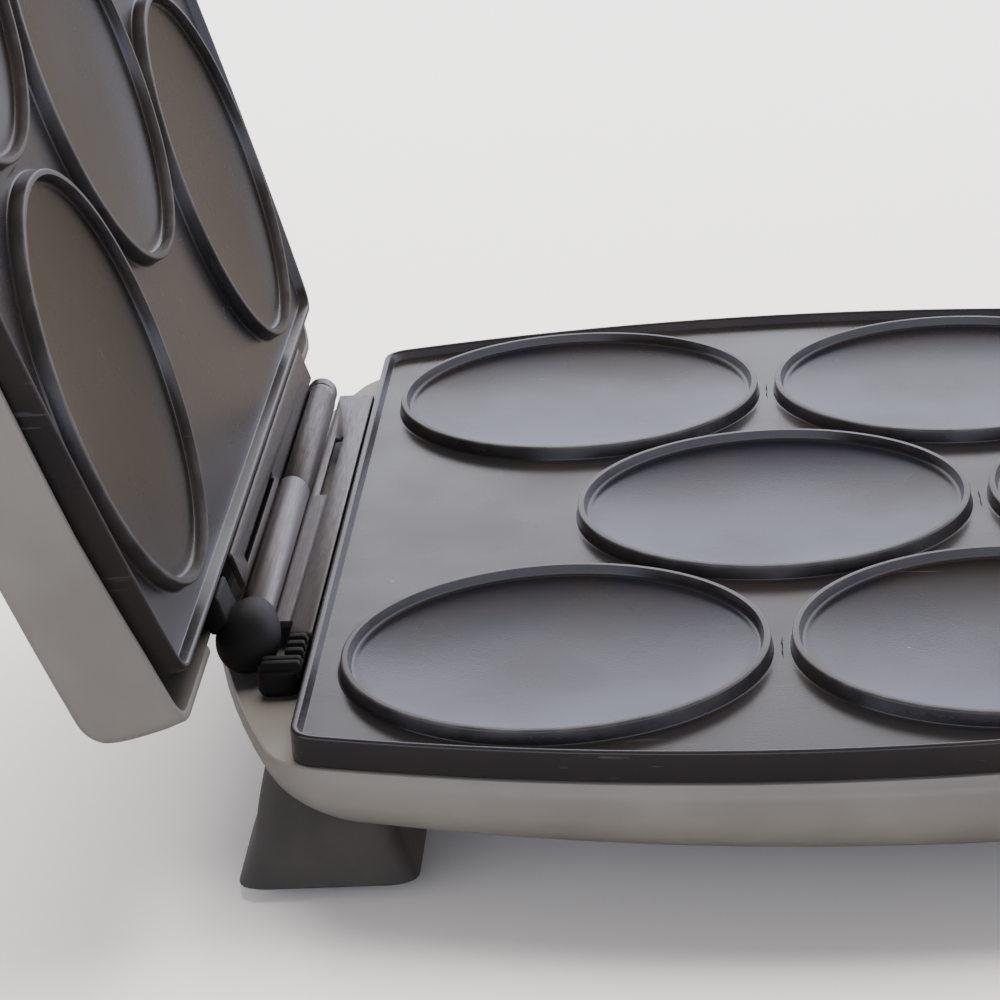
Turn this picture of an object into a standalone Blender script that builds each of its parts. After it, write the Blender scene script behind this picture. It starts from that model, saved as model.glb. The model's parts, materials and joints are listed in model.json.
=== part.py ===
"""Mini pancake maker: a hinged clamshell appliance with two heated non-stick plates of round pans.

Units are metres, +Z is up, the handle faces -Y and the hinge lies along X at the back.
Heights are first given from the parting plane, where the two plates meet when the lid is closed;
BASE_HEIGHT lifts that plane to its place above the table. The lid is modelled closed, mirrored
about the parting plane, and its parent empty on the hinge axis turns it to its open stop.
"""
import math

import bmesh
import bpy
from mathutils import Matrix, Vector

MM = 0.001
GAP = 0.3 * MM                      # clearance between neighbouring pieces

# Driving dimensions
PAN_RADIUS = 40.0 * MM              # outside of a pan's raised ring
PAN_PITCH = 84.0 * MM               # pan centres along a row, front to back
ROW_PITCH = 73.5 * MM               # between the three rows of pans
PLATE_REAR = 88.5 * MM              # plate's straight edge at the hinge
PLATE_FRONT_CORNER = -113.0 * MM
PLATE_HALF_REAR = 109.0 * MM
PLATE_HALF_FRONT = 108.0 * MM
EDGE_BULGE = 15.5 * MM              # how far the sides bow out past their corners
FRONT_BULGE = 18.0 * MM
PLATE_FACE = -3.2 * MM              # plate's flat face, below the parting plane
RING_TOP = -0.2 * MM
LIP_TOP = -1.2 * MM
PLATE_SKIRT = -6.9 * MM             # lower edge of the plate's side wall
PLATE_BACK = -5.4 * MM
LIP_WIDTH = 2.0 * MM
PAN_SIDES = 24
UNDER_SIDES = 12
SHELL_WALL = 2.2 * MM
SHELL_TOP = PLATE_SKIRT - GAP
SHELL_FLOOR = -27.2 * MM
BASE_HEIGHT = 42.2 * MM             # parting plane above the table
CENTRE_Y = -13.76 * MM              # from the middle pan's centre to the middle of the open object

HINGE_Y = 100.4 * MM                # hinge axis, on the parting plane
LID_OPEN = math.radians(107.4)
BARREL_RADIUS = 3.6 * MM
LEAF = 1.1 * MM                     # hinge sheet's thickness
PIN_RADIUS = 2.2 * MM
BORE_RADIUS = 2.5 * MM              # what turns on the hinge pin
KNUCKLE_SPLIT = 13.0 * MM
KNUCKLE_ENDS = (-55.4 * MM, 70.0 * MM)
STRIP_END = 96.6 * MM               # edge of the leaves' level strips, short of the barrel
LEAF_ENDS = (-61.0 * MM, 78.0 * MM)

LID_REAR = 95.2 * MM                # lid shell's straight rear edge
LID_EDGE = 6.2 * MM                 # lid shell's lower edge, above the parting plane
LID_EDGE_REAR = 5.0 * MM            # the same beside the hinge
BASE_REAR = 91.0 * MM
BASE_REAR_BULGE = 21.5 * MM

HANDLE_HALF = 43.0 * MM
HANDLE_FRONT = -172.0 * MM
HANDLE_BACK = -118.0 * MM            # inside the shell: the fit cuts it back to the wall
HANDLE_TOP = -4.2 * MM
HANDLE_BOTTOM = -19.2 * MM
LATCH_PIN = (-167.5 * MM, 12.0 * MM)
LATCH_HALF = 12.5 * MM
LATCH_OPEN = math.radians(25.0)

SCREW_PLACES = [(-95 * MM, 80 * MM), (95 * MM, 80 * MM),
                (-98 * MM, -101 * MM), (98 * MM, -101 * MM)]
FOOT_PLACES = {"rear_left": (-76 * MM, 86 * MM), "rear_right": (76 * MM, 86 * MM),
               "front_left": (-74 * MM, -96 * MM), "front_right": (74 * MM, -96 * MM)}
LEAF_SCREWS_BASE = [-56 * MM, 8 * MM, 66 * MM]
LEAF_SCREWS_LID = [-42 * MM, 22 * MM, 66 * MM]
GLAND_SEAT = 114.4 * MM             # rear face of the boss that holds the cord gland
GLAND_HEIGHT = -14.8 * MM
LAMP_PLACES = {"power": (-9 * MM, -110 * MM), "ready": (9 * MM, -110 * MM)}

# Looks: colour, roughness, metallic
LOOKS = {
    "shell_plastic": ((0.50, 0.48, 0.45), 0.45, 0.0),
    "nonstick_coating": ((0.06, 0.06, 0.065), 0.3, 0.2),
    "hinge_steel": ((0.55, 0.55, 0.56), 0.35, 0.9),
    "black_plastic": ((0.015, 0.015, 0.015), 0.4, 0.0),
    "foot_plastic": ((0.12, 0.11, 0.10), 0.6, 0.0),
    "rubber": ((0.02, 0.02, 0.02), 0.8, 0.0),
    "screw_steel": ((0.5, 0.5, 0.5), 0.35, 1.0),
    "element_steel": ((0.25, 0.24, 0.23), 0.4, 1.0),
    "reflector_steel": ((0.6, 0.6, 0.6), 0.3, 1.0),
    "ceramic": ((0.75, 0.72, 0.65), 0.6, 0.0),
    "lens_red": ((0.6, 0.02, 0.01), 0.1, 0.0),
    "lens_green": ((0.02, 0.4, 0.05), 0.1, 0.0),
}


# ---------------------------------------------------------------- mesh helpers

def material(name):
    if name in bpy.data.materials:
        return bpy.data.materials[name]
    colour, roughness, metallic = LOOKS[name]
    mat = bpy.data.materials.new(name)
    mat.use_nodes = True
    shader = mat.node_tree.nodes["Principled BSDF"]
    shader.inputs["Base Color"].default_value = (*colour, 1.0)
    shader.inputs["Roughness"].default_value = roughness
    shader.inputs["Metallic"].default_value = metallic
    return mat


def add_object(name, bm, look, parent, cutter=False):
    """Turn a bmesh into a named object; a cutter only shapes other objects and is not shown."""
    bmesh.ops.remove_doubles(bm, verts=bm.verts, dist=1e-7)
    bmesh.ops.recalc_face_normals(bm, faces=bm.faces)
    mesh = bpy.data.meshes.new(name)
    bm.to_mesh(mesh)
    bm.free()
    mesh.shade_smooth()
    mesh.set_sharp_from_angle(angle=math.radians(30))
    obj = bpy.data.objects.new(name, mesh)
    bpy.context.scene.collection.objects.link(obj)
    obj.parent = parent
    obj.data.materials.append(material(look))
    if cutter:
        obj.hide_render = True
        obj.display_type = "WIRE"
    return obj


def boolean(obj, tool, operation, solver="EXACT"):
    mod = obj.modifiers.new(operation.lower() + "_" + tool.name, "BOOLEAN")
    mod.operation = operation
    mod.solver = solver
    mod.object = tool
    return obj


def bridge(bm, low, high):
    for i in range(len(low)):
        j = (i + 1) % len(low)
        bm.faces.new((low[i], low[j], high[j], high[i]))


def fill(bm, *rings):
    """Fill a flat region between an outer ring of vertices and any holes."""
    edges = []
    for ring in rings:
        for i in range(len(ring)):
            pair = (ring[i], ring[(i + 1) % len(ring)])
            edges.append(bm.edges.get(pair) or bm.edges.new(pair))
    bmesh.ops.triangle_fill(bm, use_beauty=True, use_dissolve=False, edges=edges)


def ring_at(bm, outline, height):
    """Vertices over an outline; height is a number, or a function of the point."""
    place = height if callable(height) else (lambda x, y: height)
    return [bm.verts.new((x, y, place(x, y))) for x, y in outline]


def loft(bm, levels, caps=True):
    """Skin through (outline, height) levels; caps close the first and the last."""
    rings = [ring_at(bm, outline, height) for outline, height in levels]
    for low, high in zip(rings, rings[1:]):
        bridge(bm, low, high)
    if caps:
        fill(bm, rings[0])
        fill(bm, rings[-1])
    return rings


def lathe(bm, profile, centre, axis="Z", segments=24):
    """Turn a closed (radius, height) profile about an axis through centre; radius 0 is a pole."""
    turn = {"Z": Matrix.Identity(3),
            "X": Matrix(((0, 0, 1), (0, 1, 0), (-1, 0, 0))),
            "Y": Matrix(((1, 0, 0), (0, 0, 1), (0, -1, 0)))}[axis]
    rings = []
    for radius, height in profile:
        if radius == 0:
            rings.append([bm.verts.new(turn @ Vector((0, 0, height)) + Vector(centre))])
            continue
        ring = []
        for i in range(segments):
            a = 2 * math.pi * i / segments
            point = Vector((radius * math.cos(a), radius * math.sin(a), height))
            ring.append(bm.verts.new(turn @ point + Vector(centre)))
        rings.append(ring)
    for low, high in zip(rings, rings[1:] + rings[:1]):
        if len(low) == 1 and len(high) == 1:
            continue
        for i in range(segments):
            j = (i + 1) % segments
            if len(low) == 1:
                bm.faces.new((low[0], high[j], high[i]))
            elif len(high) == 1:
                bm.faces.new((low[i], low[j], high[0]))
            else:
                bm.faces.new((low[i], low[j], high[j], high[i]))


def prism(bm, section, start, end):
    """Extrude a (y, z) section along X from start to end."""
    ends = [[bm.verts.new((x, y, z)) for y, z in section] for x in (start, end)]
    bridge(bm, *ends)
    fill(bm, ends[0])
    fill(bm, ends[1])


def box(bm, low, high):
    prism(bm, [(low[1], low[2]), (high[1], low[2]), (high[1], high[2]), (low[1], high[2])], low[0], high[0])


# ---------------------------------------------------------------- plan outlines

def outline(corners, bulges, radii, edge_steps=6, corner_steps=3):
    """Closed anticlockwise outline: bowed edges between corners, each corner rounded off."""
    count = len(corners)

    def edge_point(k, t):
        a = Vector(corners[k])
        b = Vector(corners[(k + 1) % count])
        out = Vector(((b - a).y, -(b - a).x)).normalized()
        return a.lerp(b, t) + out * bulges[k] * 4 * t * (1 - t)

    points = []
    for k in range(count):
        length = (Vector(corners[(k + 1) % count]) - Vector(corners[k])).length
        start = radii[k] / length
        stop = 1 - radii[(k + 1) % count] / length
        for i in range(edge_steps + 1):
            points.append(edge_point(k, start + (stop - start) * i / edge_steps))
        corner = Vector(corners[(k + 1) % count])
        leave = points[-1]
        next_length = (Vector(corners[(k + 2) % count]) - corner).length
        arrive = edge_point((k + 1) % count, radii[(k + 1) % count] / next_length)
        for i in range(1, corner_steps):
            t = i / corner_steps
            points.append(leave * (1 - t) ** 2 + corner * 2 * t * (1 - t) + arrive * t ** 2)
    return [(p.x, p.y) for p in points]


def offset(points, distance):
    """Move each point of an anticlockwise outline outward by distance."""
    moved = []
    for i in range(len(points)):
        before = Vector(points[i - 1])
        here = Vector(points[i])
        after = Vector(points[(i + 1) % len(points)])
        first = Vector(((here - before).y, -(here - before).x)).normalized()
        second = Vector(((after - here).y, -(after - here).x)).normalized()
        normal = (first + second).normalized()
        moved.append(tuple(here + normal * distance / max(0.5, normal.dot(first))))
    return moved


def scaled(points, factor, centre_y=-12 * MM):
    return [(x * factor, (y - centre_y) * factor + centre_y) for x, y in points]


def appliance_outline(half_rear, rear, rear_bulge, rear_radius, front_radius):
    corners = [(-PLATE_HALF_FRONT, PLATE_FRONT_CORNER), (PLATE_HALF_FRONT, PLATE_FRONT_CORNER),
               (half_rear, rear), (-half_rear, rear)]
    return outline(corners, (FRONT_BULGE, EDGE_BULGE, rear_bulge, EDGE_BULGE),
                   (front_radius, front_radius, rear_radius, rear_radius))


PLATE = appliance_outline(PLATE_HALF_REAR, PLATE_REAR, 0.0, 5 * MM, 6 * MM)
LID = appliance_outline(PLATE_HALF_REAR, LID_REAR, 0.0, 5 * MM, 6 * MM)
PANS = [(side * ROW_PITCH, y) for side in (-1, 1) for y in (PAN_PITCH / 2, -PAN_PITCH / 2)]
PANS += [(0.0, 0.0), (0.0, -PAN_PITCH)]


# (radius, height) profiles of what rises from or sinks into the plate's flat faces
PAN_PROFILE = [(PAN_RADIUS + 1.0 * MM, PLATE_FACE), (PAN_RADIUS, RING_TOP - 0.3 * MM),
               (PAN_RADIUS - 0.2 * MM, RING_TOP), (PAN_RADIUS - 1.2 * MM, RING_TOP),
               (PAN_RADIUS - 1.7 * MM, -2.0 * MM), (PAN_RADIUS - 5.0 * MM, -2.9 * MM),
               (24.0 * MM, -3.9 * MM), (12.0 * MM, -4.4 * MM)]
PAN_UNDERSIDE = [(38.5 * MM, PLATE_BACK), (36.5 * MM, PLATE_BACK - 1.6 * MM)]
BOSS_PROFILE = [(4.0 * MM, PLATE_BACK), (4.0 * MM, PLATE_BACK - 4 * MM),
                (1.55 * MM, PLATE_BACK - 4 * MM), (1.55 * MM, -4.4 * MM)]


# ---------------------------------------------------------------- pieces

def turned_feature(bm, profile, x, y, sides):
    """Turned skin around (x, y), closed at its last level; returns the open first ring."""
    levels = []
    for radius, height in profile:
        turns = [2 * math.pi * i / sides for i in range(sides)]
        levels.append(([(x + radius * math.cos(a), y + radius * math.sin(a)) for a in turns], height))
    rings = loft(bm, levels, caps=False)
    fill(bm, rings[-1])
    return rings[0]


def cooking_plate(name, parent, flip, screw_xs):
    """Coated aluminium plate: rim, ringed pans and screw bosses, as one closed casting."""
    bm = bmesh.new()
    rim = [(offset(PLATE, -LIP_WIDTH - 0.8 * MM), PLATE_FACE), (offset(PLATE, -LIP_WIDTH), LIP_TOP),
           (offset(PLATE, -0.4 * MM), LIP_TOP), (PLATE, LIP_TOP - 0.5 * MM), (PLATE, PLATE_SKIRT),
           (offset(PLATE, -LIP_WIDTH), PLATE_SKIRT), (offset(PLATE, -LIP_WIDTH), PLATE_BACK)]
    rings = loft(bm, rim, caps=False)
    top_holes = []
    under_holes = []
    for x, y in PANS:
        top_holes.append(turned_feature(bm, PAN_PROFILE, x, y, PAN_SIDES))
        under_holes.append(turned_feature(bm, PAN_UNDERSIDE, x, y, UNDER_SIDES))
    for x, y in SCREW_PLACES:
        under_holes.append(turned_feature(bm, BOSS_PROFILE, x, y, UNDER_SIDES))
    fill(bm, rings[0], *top_holes)
    fill(bm, rings[-1], *under_holes)
    if flip:
        bmesh.ops.scale(bm, vec=(1, 1, -1), verts=bm.verts)
    plate = add_object(name, bm, "nonstick_coating", parent)
    holes = bmesh.new()
    for x in screw_xs:
        height = 5.2 * MM if flip else -5.2 * MM
        lathe(holes, [(0, 0), (1.1 * MM, 0), (1.1 * MM, 4 * MM), (0, 4 * MM)],
              (x, PLATE_REAR - 3 * MM, height), "Y", 10)
    return boolean(plate, add_object(name + "_holes", holes, "nonstick_coating", parent, True), "DIFFERENCE")


def base_outline(height):
    """Base shell's outline at a height: the rear corners draw in as the wall goes down."""
    depth = (SHELL_TOP - height) / (16.4 * MM)
    return appliance_outline(PLATE_HALF_FRONT - 7.4 * MM * depth ** 1.3,
                             BASE_REAR - 5.8 * MM * depth ** 0.9, BASE_REAR_BULGE, 7 * MM, 7 * MM)


def base_shell_levels(grow=0.0):
    walls = [(-4, -23.6 * MM), (0, -19.5 * MM), (2, -14.5 * MM), (2, -10.5 * MM), (0.6, SHELL_TOP)]
    return [(scaled(offset(base_outline(SHELL_FLOOR), grow), 0.86), SHELL_FLOOR - grow),
            (scaled(offset(base_outline(-26.2 * MM), grow), 0.925), -26.2 * MM),
            *((offset(base_outline(z), out * MM + grow), z) for out, z in walls)]


def plate_room():
    """Levels that carry the base shell's solid on past the plate's rim."""
    return [(offset(PLATE, 0.4 * MM), SHELL_TOP + GAP), (offset(PLATE, 0.4 * MM), 2 * MM)]


def lid_plate_room():
    """The same for the lid, whose rim stands out below the shell's edge."""
    return [(offset(PLATE, 0.4 * MM), 0.0), (offset(PLATE, 0.4 * MM), LID_EDGE - 0.7 * MM)]


def lid_edge(y):
    """Height of the lid shell's edge, which comes nearer the parting plane at the rear."""
    rise = min(1.0, max(0.0, (85 * MM - y) / (30 * MM)))
    return LID_EDGE_REAR + (LID_EDGE - LID_EDGE_REAR) * rise


def lid_shell_levels(grow=0.0):
    walls = [(2.6, 10), (2.4, 16), (1.6, 20.5), (-0.6, 23.2), (-4, 24.6)]
    crown = [(0.9, 26.4), (0.6, 29.0), (0.25, 30.4)]
    return [(offset(LID, 2.3 * MM + grow), lambda x, y: lid_edge(y) - grow),
            *((offset(LID, out * MM + grow), z * MM) for out, z in walls),
            *((scaled(offset(LID, grow), part), z * MM + grow) for part, z in crown)]


def base_shell(parent):
    """Moulded dish with a rear deck, four screw posts and a boss bored for the cord gland."""
    ledge = offset(PLATE, -LIP_WIDTH - 0.6 * MM)
    inner = [(ledge, SHELL_TOP), (ledge, SHELL_TOP - SHELL_WALL),
             *((offset(base_outline(z * MM), out * MM), z * MM) for out, z in ((-1.6, -9.6), (-0.2, -14.5),
                                                                            (-2.3, -19))),
             (scaled(base_outline(-22.4 * MM), 0.945), -22.4 * MM),
             (scaled(base_outline(SHELL_FLOOR + SHELL_WALL), 0.84), SHELL_FLOOR + SHELL_WALL)]
    bm = bmesh.new()
    loft(bm, base_shell_levels() + inner)
    shell = add_object("base_shell", bm, "shell_plastic", parent)
    posts = bmesh.new()
    holes = bmesh.new()
    for x, y in SCREW_PLACES:
        lathe(posts, [(0, -29 * MM), (5.3 * MM, -29 * MM), (5.3 * MM, -15 * MM), (4 * MM, -14 * MM),
                      (4 * MM, -9.8 * MM), (0, -9.8 * MM)], (x, y, 0), "Z", 12)
        lathe(holes, [(0, -30 * MM), (3.3 * MM, -30 * MM), (3.3 * MM, -17.4 * MM), (1.7 * MM, -17.4 * MM),
                      (1.7 * MM, -8 * MM), (0, -8 * MM)], (x, y, 0), "Z", 12)
    lathe(holes, [(0, -15 * MM), (5.3 * MM, -15 * MM), (5.3 * MM, 10 * MM), (0, 10 * MM)],
          (0, GLAND_SEAT, GLAND_HEIGHT), "Y", 16)
    boss = bmesh.new()
    lathe(boss, [(4.4 * MM, -7.5 * MM), (7.1 * MM, -7.5 * MM), (7.1 * MM, -0.6 * MM), (6.5 * MM, 0),
                 (4.4 * MM, 0)], (0, GLAND_SEAT, GLAND_HEIGHT), "Y", 24)
    post_object = add_object("base_shell_posts", posts, "shell_plastic", parent, True)
    trim = bmesh.new()
    loft(trim, base_shell_levels(-0.4 * MM))
    boolean(post_object, add_object("base_shell_trim", trim, "shell_plastic", parent, True), "INTERSECT")
    boolean(shell, post_object, "UNION")
    boolean(shell, add_object("base_shell_boss", boss, "shell_plastic", parent, True), "UNION")
    return boolean(shell, add_object("base_shell_holes", holes, "shell_plastic", parent, True), "DIFFERENCE")


def lid_shell(parent):
    """Domed moulded cover that wraps the lid plate's rim, with posts and two lamp windows."""
    inner = [(offset(LID, 0.35 * MM), lambda x, y: lid_edge(y)),
             *((offset(LID, out * MM), z * MM) for out, z in ((0.4, 10), (0.2, 15.6), (-0.8, 19.6),
                                                              (-2.8, 21.4))),
             *((scaled(LID, part), z * MM) for part, z in ((0.955, 22.4), (0.895, 24), (0.59, 26.7),
                                                           (0.25, 28.1)))]
    bm = bmesh.new()
    loft(bm, list(reversed(lid_shell_levels())) + inner)
    shell = add_object("lid_shell", bm, "shell_plastic", parent)
    posts = bmesh.new()
    holes = bmesh.new()
    for x, y in SCREW_PLACES:
        lathe(posts, [(0, 9.8 * MM), (4 * MM, 9.8 * MM), (4 * MM, 24.2 * MM), (0, 24.2 * MM)],
              (x, y, 0), "Z", 12)
        lathe(holes, [(0, 8 * MM), (1.7 * MM, 8 * MM), (1.7 * MM, 20.0 * MM), (0, 20.0 * MM)],
              (x, y, 0), "Z", 12)
    for x, y in LAMP_PLACES.values():
        lathe(holes, [(0, 19 * MM), (4.3 * MM, 19 * MM), (4.3 * MM, 34 * MM), (0, 34 * MM)],
              (x, y, 0), "Z", 12)
    lathe(holes, [(0, -76 * MM), (7.3 * MM, -76 * MM), (7.3 * MM, -52 * MM), (0, -52 * MM)],
          (0, HINGE_Y, 0), "X", 24)
    notch = bmesh.new()
    box(notch, (-74 * MM, 88.4 * MM, 0), (-54 * MM, 97.5 * MM, 5.9 * MM))
    for suffix, tool, operation in (("posts", posts, "UNION"), ("holes", holes, "DIFFERENCE"),
                                    ("notch", notch, "DIFFERENCE")):
        tool_object = add_object("lid_shell_" + suffix, tool, "shell_plastic", parent, True)
        boolean(shell, tool_object, operation, "MANIFOLD")
    return shell


def plate_screws(prefix, parent, flip):
    """Base screws enter from below; the lid's posts are blind, so its screws run down from a stub."""
    for number, (x, y) in enumerate(SCREW_PLACES, 1):
        bm = bmesh.new()
        if flip:
            profile = [(0, 4.8 * MM), (1.25 * MM, 4.8 * MM), (1.25 * MM, 19.4 * MM), (0, 19.4 * MM)]
        else:
            profile = [(0, -19.6 * MM), (2.9 * MM, -19.6 * MM), (2.9 * MM, -17.7 * MM),
                       (1.25 * MM, -17.7 * MM), (1.25 * MM, -4.8 * MM), (0, -4.8 * MM)]
        lathe(bm, profile, (x, y, 0), "Z", 12)
        add_object(f"{prefix}_screw_{number}", bm, "screw_steel", parent)


def heating_element(name, parent, flip):
    """Sheathed rod bent to an open loop under the pans, its two terminals turned to the rear."""
    side = 62 * MM
    rear = 52 * MM
    front = -92 * MM
    bend = 24 * MM
    path = [(18 * MM, 66 * MM), (18 * MM, rear + 10 * MM)]
    corners = [((18 + 10) * MM, rear, 10 * MM, 180, 270), (side - bend, rear - bend, bend, 90, 0),
               (side - bend, front + bend, bend, 0, -90)]
    for cx, cy, radius, first, last in corners:
        centre_y = cy + 10 * MM if radius == 10 * MM else cy
        for i in range(5):
            a = math.radians(first + (last - first) * i / 4)
            path.append((cx + radius * math.cos(a), centre_y + radius * math.sin(a)))
    path += [(-x, y) for x, y in reversed(path)]
    depth = 12.0 * MM if flip else -12.0 * MM
    curve = bpy.data.curves.new(name, "CURVE")
    curve.dimensions = "3D"
    curve.bevel_depth = 3.2 * MM
    curve.bevel_resolution = 1
    curve.use_fill_caps = True
    spline = curve.splines.new("POLY")
    spline.points.add(len(path) - 1)
    for point, (x, y) in zip(spline.points, path):
        point.co = (x, y, depth, 1)
    obj = bpy.data.objects.new(name, curve)
    bpy.context.scene.collection.objects.link(obj)
    obj.parent = parent
    curve.materials.append(material("element_steel"))
    return obj


def heat_reflector(name, parent, flip):
    """Thin aluminised tray between the element and the shell."""
    bm = bmesh.new()
    loft(bm, [(scaled(PLATE, 0.806), -17.4 * MM), (scaled(PLATE, 0.83), -13.4 * MM),
              (scaled(PLATE, 0.824), -13.4 * MM), (scaled(PLATE, 0.8), -16.8 * MM)])
    if flip:
        bmesh.ops.scale(bm, vec=(1, 1, -1), verts=bm.verts)
    return add_object(name, bm, "reflector_steel", parent)


def handle(name, parent, flip, shell_levels):
    """Grip bolted to the front of a shell, its back face fitted to the shell's wall."""
    corners = [(-HANDLE_HALF + 5 * MM, HANDLE_FRONT + 4 * MM), (HANDLE_HALF - 5 * MM, HANDLE_FRONT + 4 * MM),
               (HANDLE_HALF, HANDLE_BACK), (-HANDLE_HALF, HANDLE_BACK)]
    plan = outline(corners, (4 * MM, -3 * MM, 0, -3 * MM), (14 * MM, 14 * MM, 7 * MM, 7 * MM), 6, 5)
    levels = [(HANDLE_BOTTOM, -3.4), (HANDLE_BOTTOM + 1 * MM, -1.2), (HANDLE_BOTTOM + 3.4 * MM, 0.0),
              (HANDLE_TOP - 3.0 * MM, 0.0), (HANDLE_TOP - 0.8 * MM, -0.9), (HANDLE_TOP, -2.6)]
    bm = bmesh.new()
    loft(bm, [(offset(plan, shift * MM), z) for z, shift in levels])
    if flip:
        bmesh.ops.scale(bm, vec=(1, 1, -1), verts=bm.verts)
    grip = add_object(name, bm, "black_plastic", parent)
    cut = bmesh.new()
    loft(cut, lid_plate_room() + shell_levels if flip else shell_levels + plate_room())
    boolean(grip, add_object(name + "_fit", cut, "black_plastic", parent, True), "DIFFERENCE")
    notch = bmesh.new()
    half = LATCH_HALF + 0.5 * MM
    if flip:
        box(notch, (-half, -180 * MM, 0), (half, -162.6 * MM, 30 * MM))
        bore = bmesh.new()
        lathe(bore, [(0, -20.4 * MM), (1.65 * MM, -20.4 * MM), (1.65 * MM, 20.4 * MM), (0, 20.4 * MM)],
              (0, *LATCH_PIN), "X", 20)
        boolean(grip, add_object(name + "_bore", bore, "black_plastic", parent, True), "DIFFERENCE")
    else:
        box(notch, (-half, -180 * MM, -30 * MM), (half, -170.2 * MM, 0))
    return boolean(grip, add_object(name + "_notch", notch, "black_plastic", parent, True), "DIFFERENCE")


def latch(parent):
    """Spring clip: eye on the pin, flat front, hook under the base grip, and a finger lip.

    The section is given from the pin's axis, in the latched position."""
    eye = 3.6 * MM
    section = [(eye * math.cos(math.radians(a)), eye * math.sin(math.radians(a)))
               for a in range(-60, 181, 20)]
    section += [(-5.7 * MM, -3 * MM), (-5.7 * MM, -31 * MM), (-8.4 * MM, -35 * MM), (-7.6 * MM, -36.4 * MM),
                (-4.4 * MM, -33.8 * MM), (1.2 * MM, -33.8 * MM), (2.0 * MM, -31.7 * MM),
                (-2.9 * MM, -31.7 * MM), (-3.1 * MM, -6 * MM)]
    bm = bmesh.new()
    prism(bm, section, -LATCH_HALF, LATCH_HALF)
    clip = add_object("handle_latch", bm, "black_plastic", parent)
    bore = bmesh.new()
    lathe(bore, [(0, -20 * MM), (1.62 * MM, -20 * MM), (1.62 * MM, 20 * MM), (0, 20 * MM)],
          (0, 0, 0), "X", 20)
    return boolean(clip, add_object("handle_latch_bore", bore, "black_plastic", parent, True), "DIFFERENCE")


def hinge_leaf(name, parent, flip, ends, knuckle, windows, screw_xs):
    """Pressed leaf: a flange on the plate's rear wall, a level strip, and one rolled knuckle."""
    high = LIP_TOP
    low = high - LEAF - 0.2 * MM
    wall = PLATE_REAR + GAP
    bm = bmesh.new()
    prism(bm, [(wall, PLATE_SKIRT), (wall + LEAF, PLATE_SKIRT), (wall + LEAF, low), (STRIP_END, low),
               (STRIP_END, high), (wall, high)], *ends)
    leaf = add_object(name, bm, "hinge_steel", None)
    roll = bmesh.new()
    tongue = bmesh.new()
    outer = BARREL_RADIUS
    inner = BARREL_RADIUS - LEAF
    angles = [math.radians(222 + 328 * i / 22) for i in range(23)]
    section = [(HINGE_Y + outer * math.cos(a), outer * math.sin(a)) for a in angles]
    section += [(HINGE_Y + inner * math.cos(a), inner * math.sin(a)) for a in reversed(angles)]
    prism(roll, section, *knuckle)
    box(tongue, (knuckle[0], 94 * MM, low), (knuckle[1], 98.2 * MM, high))
    holes = bmesh.new()
    for start, end, front, back in windows:
        box(holes, (start, front, -8 * MM), (end, back, 0))
    for x in screw_xs:
        lathe(holes, [(0, 0), (1.1 * MM, 0), (1.1 * MM, 6 * MM), (0, 6 * MM)],
              (x, PLATE_REAR - 2 * MM, -5.2 * MM), "Y", 10)
    tools = []
    for bmesh_tool, suffix in ((tongue, "_tongue"), (roll, "_roll"), (holes, "_holes")):
        if flip:
            bmesh.ops.scale(bmesh_tool, vec=(1, 1, -1), verts=bmesh_tool.verts)
        tools.append(add_object(name + suffix, bmesh_tool, "hinge_steel", parent, True))
    if flip:
        leaf.data.transform(Matrix.Diagonal((1, 1, -1, 1)))
        leaf.data.flip_normals()
    leaf.parent = parent
    boolean(leaf, tools[0], "UNION")
    boolean(leaf, tools[1], "UNION")
    return boolean(leaf, tools[2], "DIFFERENCE")


def leaf_screws(prefix, parent, flip, screw_xs):
    for number, x in enumerate(screw_xs, 1):
        bm = bmesh.new()
        head = 2.0 * MM + GAP + LEAF + GAP
        lathe(bm, [(0, 0.8 * MM), (0.8 * MM, 0.8 * MM), (0.8 * MM, head), (1.5 * MM, head),
                   (1.5 * MM, head + 1 * MM), (0, head + 1 * MM)],
              (x, PLATE_REAR - 2 * MM, 5.2 * MM if flip else -5.2 * MM), "Y", 10)
        add_object(f"{prefix}_screw_{number}", bm, "screw_steel", parent)


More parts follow.
